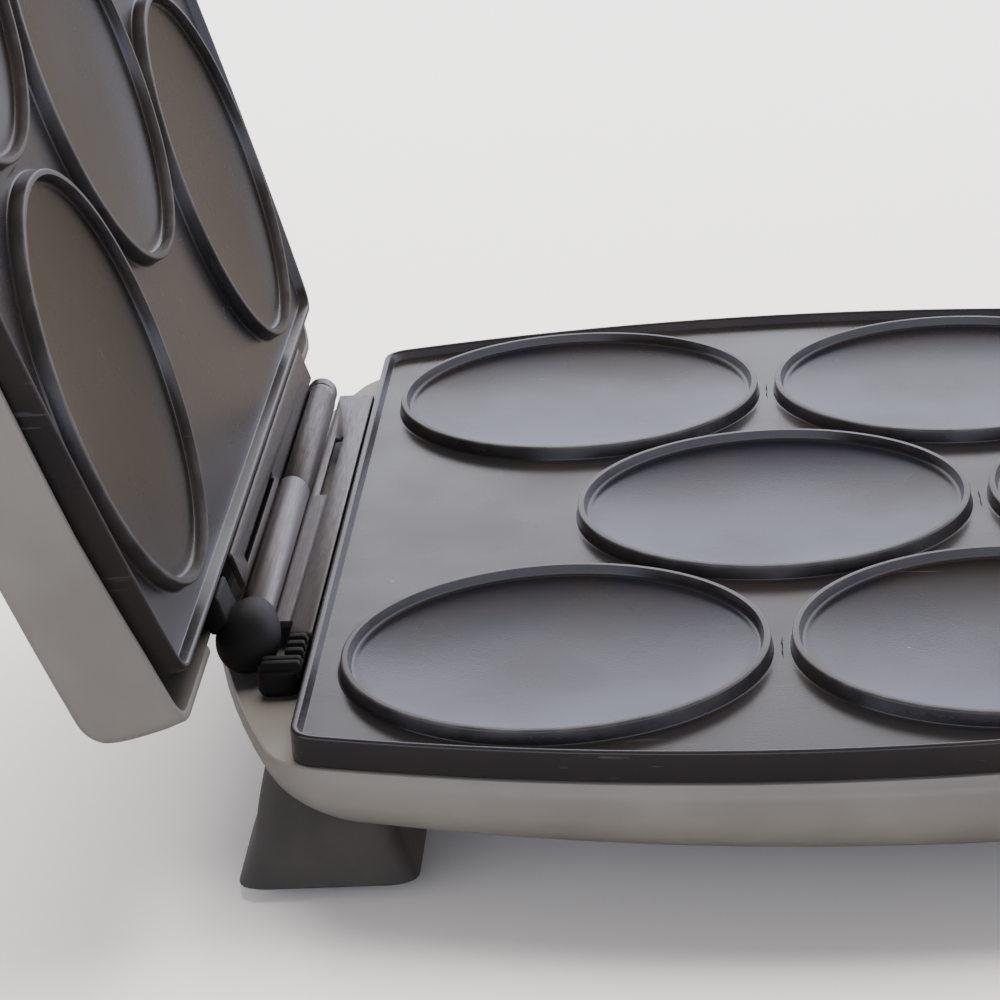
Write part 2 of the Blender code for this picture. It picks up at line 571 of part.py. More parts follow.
def hinge_pieces(base, lid):
    """Pin, the collar on its far end, the lid's cap over its near end, and the wire guide."""
    pin_end = -64 * MM
    bm = bmesh.new()
    lathe(bm, [(0, pin_end), (PIN_RADIUS, pin_end), (PIN_RADIUS, 75 * MM), (0, 75 * MM)],
          (0, HINGE_Y, 0), "X", 20)
    add_object("hinge_pin", bm, "hinge_steel", base)

    bm = bmesh.new()
    lathe(bm, [(BORE_RADIUS, 70.3 * MM), (3.4 * MM, 70.3 * MM), (3.4 * MM, 77 * MM), (2.6 * MM, 78.5 * MM),
               (0, 78.5 * MM), (0, 75.4 * MM), (BORE_RADIUS, 75.4 * MM)], (0, HINGE_Y, 0), "X", 20)
    add_object("hinge_end_collar", bm, "hinge_steel", base)

    bm = bmesh.new()
    lathe(bm, [(BORE_RADIUS, -55.8 * MM), (4.3 * MM, -55.8 * MM), (5.4 * MM, -58 * MM), (5.9 * MM, -62 * MM),
               (6.1 * MM, -67 * MM), (5.7 * MM, -70.8 * MM), (4.3 * MM, -73.6 * MM), (2.2 * MM, -74.7 * MM),
               (0, -74.9 * MM), (0, pin_end - 0.4 * MM), (BORE_RADIUS, pin_end - 0.4 * MM)],
          (0, HINGE_Y, 0), "X", 24)
    cap = add_object("hinge_end_cap", bm, "black_plastic", lid)
    arm = bmesh.new()
    box(arm, (-70 * MM, 89.4 * MM, 1.4 * MM), (-58 * MM, 96.6 * MM, 5.4 * MM))
    boolean(cap, add_object("hinge_end_cap_arm", arm, "black_plastic", lid, True), "UNION")

    bm = bmesh.new()
    plan = [(-78, 89.2), (-62.5, 89.2), (-62.5, 92.9), (-75.4, 92.9), (-75.4, 97.0), (-77, 97.8),
            (-79, 97.0), (-80.3, 94.6), (-80, 91)]
    plan = [(x * MM, y * MM) for x, y in plan]
    loft(bm, [(plan, PLATE_SKIRT), (plan, 0.2 * MM)])
    guide = add_object("hinge_wire_guide", bm, "black_plastic", base)
    grooves = bmesh.new()
    for x in (-66 * MM, -70 * MM, -77.6 * MM):
        box(grooves, (x - 0.8 * MM, 87 * MM, -1.6 * MM), (x + 0.8 * MM, 104 * MM, 2 * MM))
    tool = add_object("hinge_wire_guide_grooves", grooves, "black_plastic", base, True)
    boolean(guide, tool, "DIFFERENCE")


def foot(place, parent, x, y):
    """Flared plastic foot fitted to the shell's rounded floor, with a rubber pad under it."""
    def rounded(width, depth):
        corners = [(x - width / 2, y - depth / 2), (x + width / 2, y - depth / 2),
                   (x + width / 2, y + depth / 2), (x - width / 2, y + depth / 2)]
        return outline(corners, (0, 0, 0, 0), [5 * MM] * 4, 1, 4)
    bm = bmesh.new()
    loft(bm, [(rounded(34 * MM, 34 * MM), -39.9 * MM), (rounded(33 * MM, 32.6 * MM), -38 * MM),
              (rounded(28 * MM, 27 * MM), -31 * MM), (rounded(26 * MM, 24.6 * MM), -24 * MM),
              (rounded(23 * MM, 20 * MM), -15 * MM)])
    body = add_object(f"foot_{place}", bm, "foot_plastic", parent)
    cut = bmesh.new()
    loft(cut, base_shell_levels(GAP))
    boolean(body, add_object(f"foot_{place}_fit", cut, "foot_plastic", parent, True), "DIFFERENCE")
    pad = bmesh.new()
    loft(pad, [(rounded(22 * MM, 20 * MM), -BASE_HEIGHT), (rounded(24 * MM, 22 * MM), -40.2 * MM)])
    add_object(f"foot_pad_{place}", pad, "rubber", parent)


def inner_parts(base, lid):
    bm = bmesh.new()
    lathe(bm, [(0, -12.2 * MM), (9 * MM, -12.2 * MM), (9 * MM, -8 * MM), (7 * MM, -5.8 * MM),
               (0, -5.8 * MM)], (0, 60 * MM, 0), "Z", 20)
    add_object("thermostat", bm, "ceramic", base)
    bm = bmesh.new()
    lathe(bm, [(0, -8 * MM), (1.0 * MM, -6.5 * MM), (2.2 * MM, -6 * MM), (2.2 * MM, 6 * MM),
               (1.0 * MM, 6.5 * MM), (0, 8 * MM)], (0, 80 * MM, -9 * MM), "X", 12)
    add_object("thermal_fuse", bm, "ceramic", base)
    bm = bmesh.new()
    box(bm, (-16 * MM, 73 * MM, -24.5 * MM), (16 * MM, 83 * MM, -14.5 * MM))
    add_object("terminal_block", bm, "ceramic", base)
    bm = bmesh.new()
    lathe(bm, [(3.3 * MM, -9 * MM), (4.5 * MM, -9 * MM), (4.9 * MM, -8 * MM), (4.9 * MM, GAP),
               (6.4 * MM, GAP), (5.8 * MM, 3.2 * MM), (3.3 * MM, 3.2 * MM)],
          (0, GLAND_SEAT, GLAND_HEIGHT), "Y", 20)
    add_object("cord_inlet_gland", bm, "black_plastic", base)
    bm = bmesh.new()
    box(bm, (-20 * MM, -117 * MM, 20.4 * MM), (20 * MM, -103 * MM, 21.6 * MM))
    add_object("lamp_board", bm, "ceramic", lid)
    for lamp, (x, y) in LAMP_PLACES.items():
        bm = bmesh.new()
        lathe(bm, [(0, 21.9 * MM), (3.9 * MM, 21.9 * MM), (3.9 * MM, 27.3 * MM), (2.6 * MM, 28.5 * MM),
                   (0, 29.0 * MM)], (x, y, 0), "Z", 12)
        add_object(f"{lamp}_lamp_lens", bm, "lens_red" if lamp == "power" else "lens_green", lid)


def build():
    for obj in list(bpy.data.objects):
        bpy.data.objects.remove(obj, do_unlink=True)
    base = bpy.data.objects.new("base_frame", None)
    base.location = (0, CENTRE_Y, BASE_HEIGHT)
    lid_axis = bpy.data.objects.new("lid_axis", None)
    lid_axis.parent = base
    lid_axis.location = (0, HINGE_Y, 0)
    lid_axis.rotation_euler = (-LID_OPEN, 0, 0)
    lid = bpy.data.objects.new("lid_frame", None)
    lid.parent = lid_axis
    lid.location = (0, -HINGE_Y, 0)
    latch_axis = bpy.data.objects.new("latch_axis", None)
    latch_axis.parent = lid
    latch_axis.location = (0, *LATCH_PIN)
    latch_axis.rotation_euler = (-LATCH_OPEN, 0, 0)
    for empty in (base, lid_axis, lid, latch_axis):
        bpy.context.scene.collection.objects.link(empty)

    base_shell(base)
    cooking_plate("base_cooking_plate", base, False, LEAF_SCREWS_BASE)
    heating_element("base_heating_element", base, False)
    heat_reflector("base_heat_reflector", base, False)
    handle("base_handle", base, False, base_shell_levels(GAP))
    plate_screws("base_plate", base, False)
    lid_shell(lid)
    cooking_plate("lid_cooking_plate", lid, True, LEAF_SCREWS_LID)
    heating_element("lid_heating_element", lid, True)
    heat_reflector("lid_heat_reflector", lid, True)
    handle("lid_handle", lid, True, lid_shell_levels(GAP))
    plate_screws("lid_plate", lid, True)
    split = KNUCKLE_SPLIT - GAP / 2
    hinge_leaf("base_hinge_leaf", base, False, LEAF_ENDS, (KNUCKLE_ENDS[0], split),
               [(13.5 * MM, 50 * MM, 93.1 * MM, 94.9 * MM),
                (-64 * MM, KNUCKLE_ENDS[0] - 0.1 * MM, 93.1 * MM, 99 * MM)], LEAF_SCREWS_BASE)
    hinge_leaf("lid_hinge_leaf", lid, True, (-48 * MM, LEAF_ENDS[1]), (split + GAP, KNUCKLE_ENDS[1]),
               [(-40 * MM, 8 * MM, 93.1 * MM, 94.9 * MM)], LEAF_SCREWS_LID)
    leaf_screws("base_hinge", base, False, LEAF_SCREWS_BASE)
    leaf_screws("lid_hinge", lid, True, LEAF_SCREWS_LID)
    hinge_pieces(base, lid)
    for place, (x, y) in FOOT_PLACES.items():
        foot(place, base, x, y)
    inner_parts(base, lid)
    latch(latch_axis)
    pin = bmesh.new()
    lathe(pin, [(0, -20 * MM), (1.5 * MM, -20 * MM), (1.5 * MM, 20 * MM), (0, 20 * MM)],
          (0, *LATCH_PIN), "X", 20)
    add_object("latch_pin", pin, "screw_steel", lid)
    bpy.context.view_layer.update()


build()
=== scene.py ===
# %% [markdown]
# # A small pancake maker, standing open
#
# The appliance is a clamshell: a base and a lid, each a moulded plastic dish that holds a cast
# aluminium cooking plate, joined by a rolled steel hinge along the back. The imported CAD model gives
# every place, size and joint. This lesson builds the fine surfaces around it: first the measures and
# the helpers, then the finishes, the pieces from the plates outwards, and the light and the camera.

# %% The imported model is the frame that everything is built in
import json
import math

import bmesh
import bpy
import numpy as np
from mathutils import Matrix, Vector


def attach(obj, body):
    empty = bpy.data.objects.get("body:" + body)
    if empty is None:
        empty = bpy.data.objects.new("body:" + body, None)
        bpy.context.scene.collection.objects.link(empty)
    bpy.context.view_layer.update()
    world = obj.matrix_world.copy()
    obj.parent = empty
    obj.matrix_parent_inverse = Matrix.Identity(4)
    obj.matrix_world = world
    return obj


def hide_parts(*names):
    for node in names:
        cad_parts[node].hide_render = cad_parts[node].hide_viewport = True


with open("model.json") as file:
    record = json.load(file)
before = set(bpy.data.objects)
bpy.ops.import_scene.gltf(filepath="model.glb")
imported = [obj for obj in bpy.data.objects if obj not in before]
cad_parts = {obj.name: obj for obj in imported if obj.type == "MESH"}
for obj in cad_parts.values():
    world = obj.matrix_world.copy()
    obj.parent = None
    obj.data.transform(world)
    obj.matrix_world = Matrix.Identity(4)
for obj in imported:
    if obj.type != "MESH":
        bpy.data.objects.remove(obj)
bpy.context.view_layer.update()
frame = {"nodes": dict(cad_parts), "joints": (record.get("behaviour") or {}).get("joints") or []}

# %% [markdown]
# ## Measures
#
# Small appliances are drawn in millimetres, so the shapes here are too, in a frame of their own: its
# origin is the centre of the middle pan on the parting plane, where the two plates meet. The lid is
# drawn shut and then swung open about the hinge, so that both halves use the same numbers. The
# hinge's place and its opening angle are read from the frame.

# %% Driving sizes, in millimetres
PAN_RADIUS = 40.0
PAN_PITCH = 84.0
ROW_PITCH = 73.5
PLATE_REAR = 88.5
PLATE_FACE = -3.2
PLATE_BACK = -5.4
PLATE_SKIRT = -6.9
RING_TOP = -0.2
LIP_TOP = -1.2
PAN_FLOOR = -4.45
SHELL_TOP = -7.2
SHELL_FLOOR = -27.2
LID_EDGE = 6.2
LID_EDGE_REAR = 5.0
GLAND = (0, 114.4, -14.8)
HINGE_Y = 100.4
BARREL_RADIUS = 3.6
BORE_RADIUS = 2.5
STRIP_END = 96.6
LEAF = 1.1
KNUCKLE_SPLIT = 13.0
LATCH_PIN = (-167.5, 12.0)
LATCH_HALF = 12.5
PANS = [(side * ROW_PITCH, y) for side in (-1, 1) for y in (PAN_PITCH / 2, -PAN_PITCH / 2)]
PANS += [(0.0, 0.0), (0.0, -PAN_PITCH)]
SCREW_PLACES = [(-95, 80), (95, 80), (-98, -101), (98, -101)]
SCREW_LEDGE = -17.4
SCREW_HEADS = -19.6
FIT_GAP = 0.3
LEAF_SCREWS = {"base": (-56, 8, 66), "lid": (-42, 22, 66)}
FEET = {"rear_left": (-76, 86), "rear_right": (76, 86),
        "front_left": (-74, -96), "front_right": (74, -96)}
LAMPS = {"power": (-9, -110), "ready": (9, -110)}

# %% Where the three bodies stand in the frame
joints = {joint["name"]: joint for joint in frame["joints"]}
hinge = Vector(joints["lid_hinge"]["pos_m"])
lid_open = math.radians(joints["lid_hinge"]["range_deg"][1])
latch_open = math.radians(joints["latch_pivot"]["range_deg"][1])
to_metres = Matrix.Scale(0.001, 4)
base_place = Matrix.Translation(hinge) @ to_metres @ Matrix.Translation((0, -HINGE_Y, 0))
lid_turn = Matrix.Rotation(-lid_open, 4, "X")
lid_place = Matrix.Translation(hinge) @ lid_turn @ to_metres @ Matrix.Translation((0, -HINGE_Y, 0))
latch_turn = Matrix.Rotation(-latch_open, 4, "X")
latch_place = lid_place @ Matrix.Translation((0, *LATCH_PIN)) @ latch_turn
PLACE = {"base": base_place, "lid": lid_place, "latch": latch_place}
print("lid opens", round(math.degrees(lid_open), 1), "degrees about", tuple(round(v, 4) for v in hinge))

# %% [markdown]
# ## Drawing helpers
#
# Almost every piece here is a turned shape, a bent or extruded section, or a skin laid over a stack
# of outlines. One function for each, and one that rounds the corners of a section, keep the pieces
# short. Rounding matters more than detail: a real edge is never knife sharp, and the thin line of
# light along it is what the eye reads.

# %% Sections with rounded corners
def filleted(corners, closed=False, steps=4):
    """Corners (x, y) or (x, y, radius) to a line of points whose corners are rounded off."""
    points = []
    count = len(corners)
    for i, corner in enumerate(corners):
        here = Vector(corner[:2])
        radius = corner[2] if len(corner) > 2 else 0
        if radius == 0 or (not closed and i in (0, count - 1)):
            points.append(here)
            continue
        before = Vector(corners[i - 1][:2]) - here
        after = Vector(corners[(i + 1) % count][:2]) - here
        half = before.angle(after) / 2
        reach = min(radius / math.tan(half), 0.48 * before.length, 0.48 * after.length)
        start = here + before.normalized() * reach
        end = here + after.normalized() * reach
        for k in range(steps + 1):
            t = k / steps
            points.append(start * (1 - t) ** 2 + here * 2 * t * (1 - t) + end * t ** 2)
    return [tuple(p) for p in points]


def arc(centre, radius, first, last, steps):
    """Points on an arc, between two angles in degrees."""
    turns = [math.radians(first + (last - first) * i / steps) for i in range(steps + 1)]
    return [(centre[0] + radius * math.cos(a), centre[1] + radius * math.sin(a)) for a in turns]


# %% Plan outlines: bowed edges that run into rounded corners
def outline(corners, bulges, radii, edge_steps=22, corner_steps=8):
    """Closed anticlockwise outline, each edge bowed out and each corner rounded off."""
    count = len(corners)

    def edge_point(k, t):
        a = Vector(corners[k])
        b = Vector(corners[(k + 1) % count])
        out = Vector(((b - a).y, -(b - a).x)).normalized()
        return a.lerp(b, t) + out * bulges[k] * 4 * t * (1 - t)

    points = []
    for k in range(count):
        after = (k + 1) % count
        corner = Vector(corners[after])
        length = (corner - Vector(corners[k])).length
        next_length = (Vector(corners[(k + 2) % count]) - corner).length
        start = radii[k] / length
        stop = 1 - radii[after] / length
        points += [edge_point(k, start + (stop - start) * i / edge_steps) for i in range(edge_steps + 1)]
        leave = points[-1]
        arrive = edge_point(after, radii[after] / next_length)
        for i in range(1, corner_steps):
            t = i / corner_steps
            points.append(leave * (1 - t) ** 2 + corner * 2 * t * (1 - t) + arrive * t ** 2)
    return [(p.x, p.y) for p in points]


def offset(points, distance):
    """The outline moved outward everywhere by a distance."""
    here = np.array(points)
    first = here - np.roll(here, 1, 0)
    second = np.roll(here, -1, 0) - here
    first = np.stack([first[:, 1], -first[:, 0]], 1) / np.linalg.norm(first, axis=1)[:, None]
    second = np.stack([second[:, 1], -second[:, 0]], 1) / np.linalg.norm(second, axis=1)[:, None]
    normal = first + second
    normal /= np.linalg.norm(normal, axis=1)[:, None]
    reach = distance / np.maximum(0.5, (normal * first).sum(1))
    return [tuple(p) for p in here + normal * reach[:, None]]


def scaled(points, factor, centre_y=-12):
    """The outline drawn smaller about the middle of the plate."""
    return [(x * factor, (y - centre_y) * factor + centre_y) for x, y in points]


def body_outline(half_rear, rear, rear_bulge, rear_radius, front_radius):
    """The plan that the plate and both shells share: straight at the hinge, bowed at the other edges."""
    corners = [(-108, -113), (108, -113), (half_rear, rear), (-half_rear, rear)]
    radii = (front_radius, front_radius, rear_radius, rear_radius)
    return outline(corners, (18, 15.5, rear_bulge, 15.5), radii)


PLATE = body_outline(109, PLATE_REAR, 0, 5, 6)
LID = body_outline(109, 95.2, 0, 5, 6)
print("plate outline:", len(PLATE), "points")


# %% Skins, turned shapes and extrusions
def ring(bm, points, height):
    place = height if callable(height) else (lambda x, y: height)
    return [bm.verts.new((x, y, place(x, y))) for x, y in points]


def bridge(bm, low, high):
    for i in range(len(low)):
        j = (i + 1) % len(low)
        bm.faces.new((low[i], low[j], high[j], high[i]))


def fill(bm, *rings):
    """Fill a flat region between an outer ring and any holes in it."""
    edges = []
    for loop in rings:
        for i in range(len(loop)):
            pair = (loop[i], loop[(i + 1) % len(loop)])
            edges.append(bm.edges.get(pair) or bm.edges.new(pair))
    bmesh.ops.triangle_fill(bm, use_beauty=True, use_dissolve=False, edges=edges)


def skin(bm, rings, caps=True):
    for low, high in zip(rings, rings[1:]):
        bridge(bm, low, high)
    if caps:
        fill(bm, rings[0])
        fill(bm, rings[-1])
    return rings


def stack(bm, levels):
    """Rings of vertices over a list of (outline, height)."""
    return [ring(bm, points, height) for points, height in levels]


def skinned(levels):
    """A bmesh of one closed skin over the levels."""
    bm = bmesh.new()
    skin(bm, stack(bm, levels))
    return bm


def eased(bm, levels, steps):
    """Rings that flow smoothly through the levels and never swing outside them."""
    rows = []
    for points, height in levels:
        place = height if callable(height) else (lambda x, y, height=height: height)
        rows.append([(x, y, place(x, y)) for x, y in points])
    rows = np.array(rows)
    rise = np.diff(rows, axis=0)
    same_way = rise[:-1] * rise[1:] > 0
    total = np.where(same_way, rise[:-1] + rise[1:], 1.0)
    inner = np.where(same_way, 2 * rise[:-1] * rise[1:] / total, 0.0)
    slopes = np.concatenate([rise[:1], inner, rise[-1:]])
    rings = []
    for i in range(len(rows) - 1):
        for k in range(steps if i < len(rows) - 2 else steps + 1):
            t = k / steps
            place = (rows[i] * (1 + 2 * t) * (1 - t) ** 2 + slopes[i] * t * (1 - t) ** 2
        + rows[i + 1] * t * t * (3 - 2 * t) + slopes[i + 1] * t * t * (t - 1))
            rings.append([bm.verts.new(p) for p in place])
    return rings


def lathe(bm, profile, centre=(0, 0, 0), axis="Z", segments=48):
    """Turn a (radius, height) profile, closed or running from pole to pole, about an axis."""
    turn = {"Z": Matrix.Identity(3),
            "X": Matrix(((0, 0, 1), (0, 1, 0), (-1, 0, 0))),
            "Y": Matrix(((1, 0, 0), (0, 0, 1), (0, -1, 0)))}[axis]
    rings = []
    for radius, height in profile:
        turns = [0.0] if radius == 0 else [2 * math.pi * i / segments for i in range(segments)]
        places = [Vector((radius * math.cos(a), radius * math.sin(a), height)) for a in turns]
        rings.append([bm.verts.new(turn @ p + Vector(centre)) for p in places])
    for low, high in zip(rings, rings[1:] + rings[:1]):
        for i in range(segments):
            j = (i + 1) % segments
            corners = [low[i % len(low)], low[j % len(low)], high[j % len(high)], high[i % len(high)]]
            corners = list(dict.fromkeys(corners))
            if len(corners) > 2:
                bm.faces.new(corners)


def prism(bm, section, start, end):
    """Extrude a (y, z) section along X."""
    ends = [[bm.verts.new((x, y, z)) for y, z in section] for x in (start, end)]
    skin(bm, ends)


def box(bm, low, high):
    prism(bm, [(low[1], low[2]), (high[1], low[2]), (high[1], high[2]), (low[1], high[2])], low[0], high[0])


# %% [markdown]
# ## From a drawing to a piece
#
# A piece is drawn in millimetres, its modifiers are baked into a plain mesh, and then it is moved to
# its body's place, with the object itself left at the origin. It is told which body it rides on,
# which CAD nodes it stands for, which it hides, and which finishes it takes.

# %% Baking and placing
def linked(name, data):
    """A new object in the scene, holding the data."""
    obj = bpy.data.objects.new(name, data)
    bpy.context.scene.collection.objects.link(obj)
    return obj


def solid(name, bm, recalc=True):
    """A bmesh as an object, closed up, with its faces turned outwards."""
    bmesh.ops.remove_doubles(bm, verts=bm.verts, dist=1e-4)
    if recalc:
        bmesh.ops.recalc_face_normals(bm, faces=bm.faces)
    mesh = bpy.data.meshes.new(name)
    bm.to_mesh(mesh)
    bm.free()
    return linked(name, mesh)


def baked(obj):
    """The object's mesh with its modifiers worked in, and the modifiers gone."""
    bpy.context.view_layer.update()
    graph = bpy.context.evaluated_depsgraph_get()
    mesh = bpy.data.meshes.new_from_object(obj.evaluated_get(graph))
    obj.modifiers.clear()
    obj.data = mesh
    return obj


def cut(obj, *tools, operation="DIFFERENCE", solver="EXACT"):
    """Cut the tools, given as bmeshes or objects, out of the object, or join them to it."""
    for tool in tools:
        cutter = tool if isinstance(tool, bpy.types.Object) else solid("cutter", tool)
        mod = obj.modifiers.new("cut", "BOOLEAN")
        mod.operation = operation
        mod.solver = solver
        mod.object = cutter
        baked(obj)
        bpy.data.objects.remove(cutter)
    return obj


def softened(obj, width, segments=2, angle=40):
    """Break the edges that are sharper than the angle."""
    mod = obj.modifiers.new("edges", "BEVEL")
    mod.width = width
    mod.segments = segments
    mod.limit_method = "ANGLE"
    mod.angle_limit = math.radians(angle)
    mod.harden_normals = False
    return baked(obj)


def settle(obj, body, looks, nodes, smooth=35):
    """Place a finished piece in its body, give it its finishes and hide the CAD nodes it stands for."""
    obj.data.transform(PLACE[body])
    obj.data.materials.clear()
    for look in looks:
        obj.data.materials.append(look)
    obj.data.shade_smooth()
    obj.data.set_sharp_from_angle(angle=math.radians(smooth))
    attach(obj, body)
    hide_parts(*nodes)
    print(f"{obj.name}: {len(obj.data.polygons)} faces on {body}")
    return obj


# %% [markdown]
# ## One helper for node trees
#
# Shader trees and geometry trees are built alike: a node is added, its settings are made, and each
# of its inputs gets either a plain value or a link from another node. One function does all of it.

# %% Adding a node
def add(tree, kind, inputs=None, **settings):
    """Add a node; inputs maps a socket's name or number to a value or to another node's socket."""
    node = tree.nodes.new(kind)
    for key, value in settings.items():
        setattr(node, key, value)
    for key, value in (inputs or {}).items():
        socket = node.inputs[key]
        if isinstance(value, bpy.types.NodeSocket):
            tree.links.new(value, socket)
        else:
            socket.default_value = value
    return node


def colour(code):
    """An sRGB hex colour as the linear values that a shader works with."""
    parts = [int(code[i:i + 2], 16) / 255 for i in (1, 3, 5)]
    linear = [c / 12.92 if c <= 0.04045 else ((c + 0.055) / 1.055) ** 2.4 for c in parts]
    return (*linear, 1.0)


# %% [markdown]
# ## Finishes
#
# Each finish starts from the real material. A pattern's scale comes from a real size: a noise that
# is to have grains g millimetres across needs a scale of 1000 / g, because the coordinates are in
# metres. The patterns read Object coordinates, so they stay on the piece when it moves.

# %% Parts of a finish that several of them use
def finish(name, base, roughness, metallic=0.0, **sockets):
    """A material with its Principled shader; returns the material, its tree, shader and coordinates."""
    mat = bpy.data.materials.new(name)
    mat.use_nodes = True
    tree = mat.node_tree
    shader = tree.nodes["Principled BSDF"]
    shader.inputs["Base Color"].default_value = colour(base)
    shader.inputs["Roughness"].default_value = roughness
    shader.inputs["Metallic"].default_value = metallic
    for key, value in sockets.items():
        shader.inputs[key.replace("_", " ")].default_value = value
    where = add(tree, "ShaderNodeTexCoord").outputs["Object"]
    return mat, tree, shader, where


def grain(tree, where, size, detail=2.0, rough=0.5, stretch=None, turn=(0, 0, 0)):
    """Noise with grains of a size in millimetres, drawn out along an axis where stretch says so."""
    if stretch:
        drawn_out = {"Vector": where, "Scale": stretch, "Rotation": turn}
        where = add(tree, "ShaderNodeMapping", drawn_out).outputs[0]
    inputs = {"Vector": where, "Scale": 1000 / size, "Detail": detail, "Roughness": rough}
    return add(tree, "ShaderNodeTexNoise", inputs).outputs["Fac"]


def between(tree, value, low, high, out_low, out_high, smooth=True):
    """Map a value's range onto another, held at its ends."""
    inputs = {"Value": value, "From Min": low, "From Max": high, "To Min": out_low, "To Max": out_high}
    kind = "SMOOTHSTEP" if smooth else "LINEAR"
    return add(tree, "ShaderNodeMapRange", inputs, interpolation_type=kind).outputs["Result"]


def blend(tree, share, first, second, mode="MIX"):
    """Mix two colours, each a hex code or a socket."""
    pair = [colour(c) if isinstance(c, str) else c for c in (first, second)]
    node = add(tree, "ShaderNodeMix", {"Factor": share}, data_type="RGBA", blend_type=mode)
    for number, value in zip((6, 7), pair):
        if isinstance(value, bpy.types.NodeSocket):
            tree.links.new(value, node.inputs[number])
        else:
            node.inputs[number].default_value = value
    return node.outputs[2]


def bumped(tree, shader, height, depth):
    """Raise the surface by a height pattern; depth is in millimetres."""
    inputs = {"Height": height, "Distance": depth / 1000, "Strength": 1.0}
    normal = add(tree, "ShaderNodeBump", inputs).outputs["Normal"]
    tree.links.new(normal, shader.inputs["Normal"])


def coat(tree, shader, tone, gloss):
    """Lead a colour pattern and a roughness pattern into the shader."""
    tree.links.new(tone, shader.inputs["Base Color"])
    tree.links.new(gloss, shader.inputs["Roughness"])


def sum_of(tree, first, second, second_share=1.0):
    scaled_second = add(tree, "ShaderNodeMath", {0: second, 1: second_share}, operation="MULTIPLY").outputs[0]
    return add(tree, "ShaderNodeMath", {0: first, 1: scaled_second}, operation="ADD").outputs[0]


# %% [markdown]
# ### Non-stick coating
#
# PTFE in a dark resin binder, sprayed on cast aluminium and baked. It is a dielectric, near black
# when seen from above and silvery at a low angle, where it mirrors what is behind it. The spray
# leaves a faint orange peel about half a millimetre across, and use leaves hairline scratches from
# spatulas, pinhead specks and patches of baked oil. The pan floors take copies of the coating whose
# film colour and specular tint are painted reflection colour: bluish in the base's pans, brown and
# dimmer in the lid's pans. The tops of the rings rub against tools and go paler and duller; the mesh
# carries that as "wear".

# %% Non-stick coating
def nonstick(name, film, oil, roughness, tint):
    mat, tree, shader, where = finish(name, film, roughness, IOR=1.5)
    shader.inputs["Specular Tint"].default_value = colour(tint)
    cloud = grain(tree, where, 28, 3)
    tone = blend(tree, between(tree, cloud, 0.35, 0.7, 0.0, 1.0), film, oil)
    marks = None
    for number, turn in enumerate((0.35, 1.9, 2.7)):
        hair = grain(tree, where, 1.1, 1.0, 0.4, (1, 0.035, 1), (0, 0, turn))
        line = between(tree, hair, 0.72, 0.76, 0.0, 0.35)
        patch = between(tree, grain(tree, where, 17 + 5 * number, 1), 0.55, 0.7, 0.0, 1.0)
        line = add(tree, "ShaderNodeMath", {0: line, 1: patch}, operation="MULTIPLY").outputs[0]
        marks = line if marks is None else add(tree, "ShaderNodeMath", {0: marks, 1: line},
        operation="MAXIMUM").outputs[0]
    tone = blend(tree, marks, tone, "#4a484c")
    cells = add(tree, "ShaderNodeTexVoronoi", {"Vector": where, "Scale": 1000 / 16}, feature="F1")
    speck = between(tree, cells.outputs["Distance"], 0.010, 0.018, 0.6, 0.0)
    tone = blend(tree, speck, tone, "#7d7a76")
    wear = add(tree, "ShaderNodeAttribute", attribute_name="wear").outputs["Fac"]
    patchy = between(tree, grain(tree, where, 5, 3), 0.3, 0.65, 0.35, 1.0)
    worn = add(tree, "ShaderNodeMath", {0: wear, 1: patchy}, operation="MULTIPLY").outputs[0]
    tone = blend(tree, worn, tone, "#3d3b3c")
    gloss = between(tree, cloud, 0.3, 0.75, roughness - 0.03, roughness + 0.05)
    gloss = sum_of(tree, gloss, marks, 0.12)
    coat(tree, shader, tone, sum_of(tree, gloss, worn, 0.16))
    peel = grain(tree, where, 0.6, 1)
    height = sum_of(tree, sum_of(tree, peel, marks, -0.3), speck, 0.5)
    bumped(tree, shader, height, 0.012)
    return mat


plate_coating = nonstick("nonstick_sprayed_on_plate", "#1b1a1c", "#221e1c", 0.27, "#f6f5ff")
# The pan floors' copies: their film colour and specular tint are painted reflection colour, bluish in the
# base's pans, brown and dimmer in the lid's.
base_pans_painted_blue_reflection = nonstick("nonstick_base_pans_painted_blue_reflection", "#12141d", "#1a1715", 0.25, "#aeb3df")
lid_pans_painted_brown_reflection = nonstick("nonstick_lid_pans_painted_brown_reflection", "#15130f", "#1d1812", 0.27, "#8a7c69")

# %% [markdown]
# ### Plastics and rubber
#
# The shells are moulded in a warm silver-grey ABS, satin from a fine spark-eroded mould: a grain of
# 0.45 mm, hardly deep enough to feel. The handles, latch and hinge cap are black glass-filled nylon,
# whose fibres make the skin a little cloudy, and whose specular tint keeps it dull. The feet are a
# coarse-textured polypropylene, and their pads are nitrile rubber with a bloom of dust.

# %% Moulded plastics
def moulded(name, base, lighter, roughness, size, depth, cloud_size=35, scuffs=0.0, tint="#ffffff"):
    mat, tree, shader, where = finish(name, base, roughness, IOR=1.49, Specular_Tint=colour(tint))
    cloud = grain(tree, where, cloud_size, 3)
    fine = grain(tree, where, size, 2, 0.6)
    tone = blend(tree, between(tree, cloud, 0.3, 0.7, 0.0, 1.0), base, lighter)
    if scuffs:
        hair = grain(tree, where, 1.6, 1.0, 0.4, (1, 0.05, 0.4), (0.3, 0.5, 0.9))
        rub = between(tree, hair, 0.7, 0.76, 0.0, scuffs)
        tone = blend(tree, rub, tone, lighter)
        tone = blend(tree, between(tree, fine, 0.62, 0.8, 0.0, scuffs), tone, lighter)
    gloss = between(tree, cloud, 0.3, 0.7, roughness - 0.04, roughness + 0.05)
    coat(tree, shader, tone, sum_of(tree, gloss, fine, 0.06))
    bumped(tree, shader, fine, depth)
    return mat


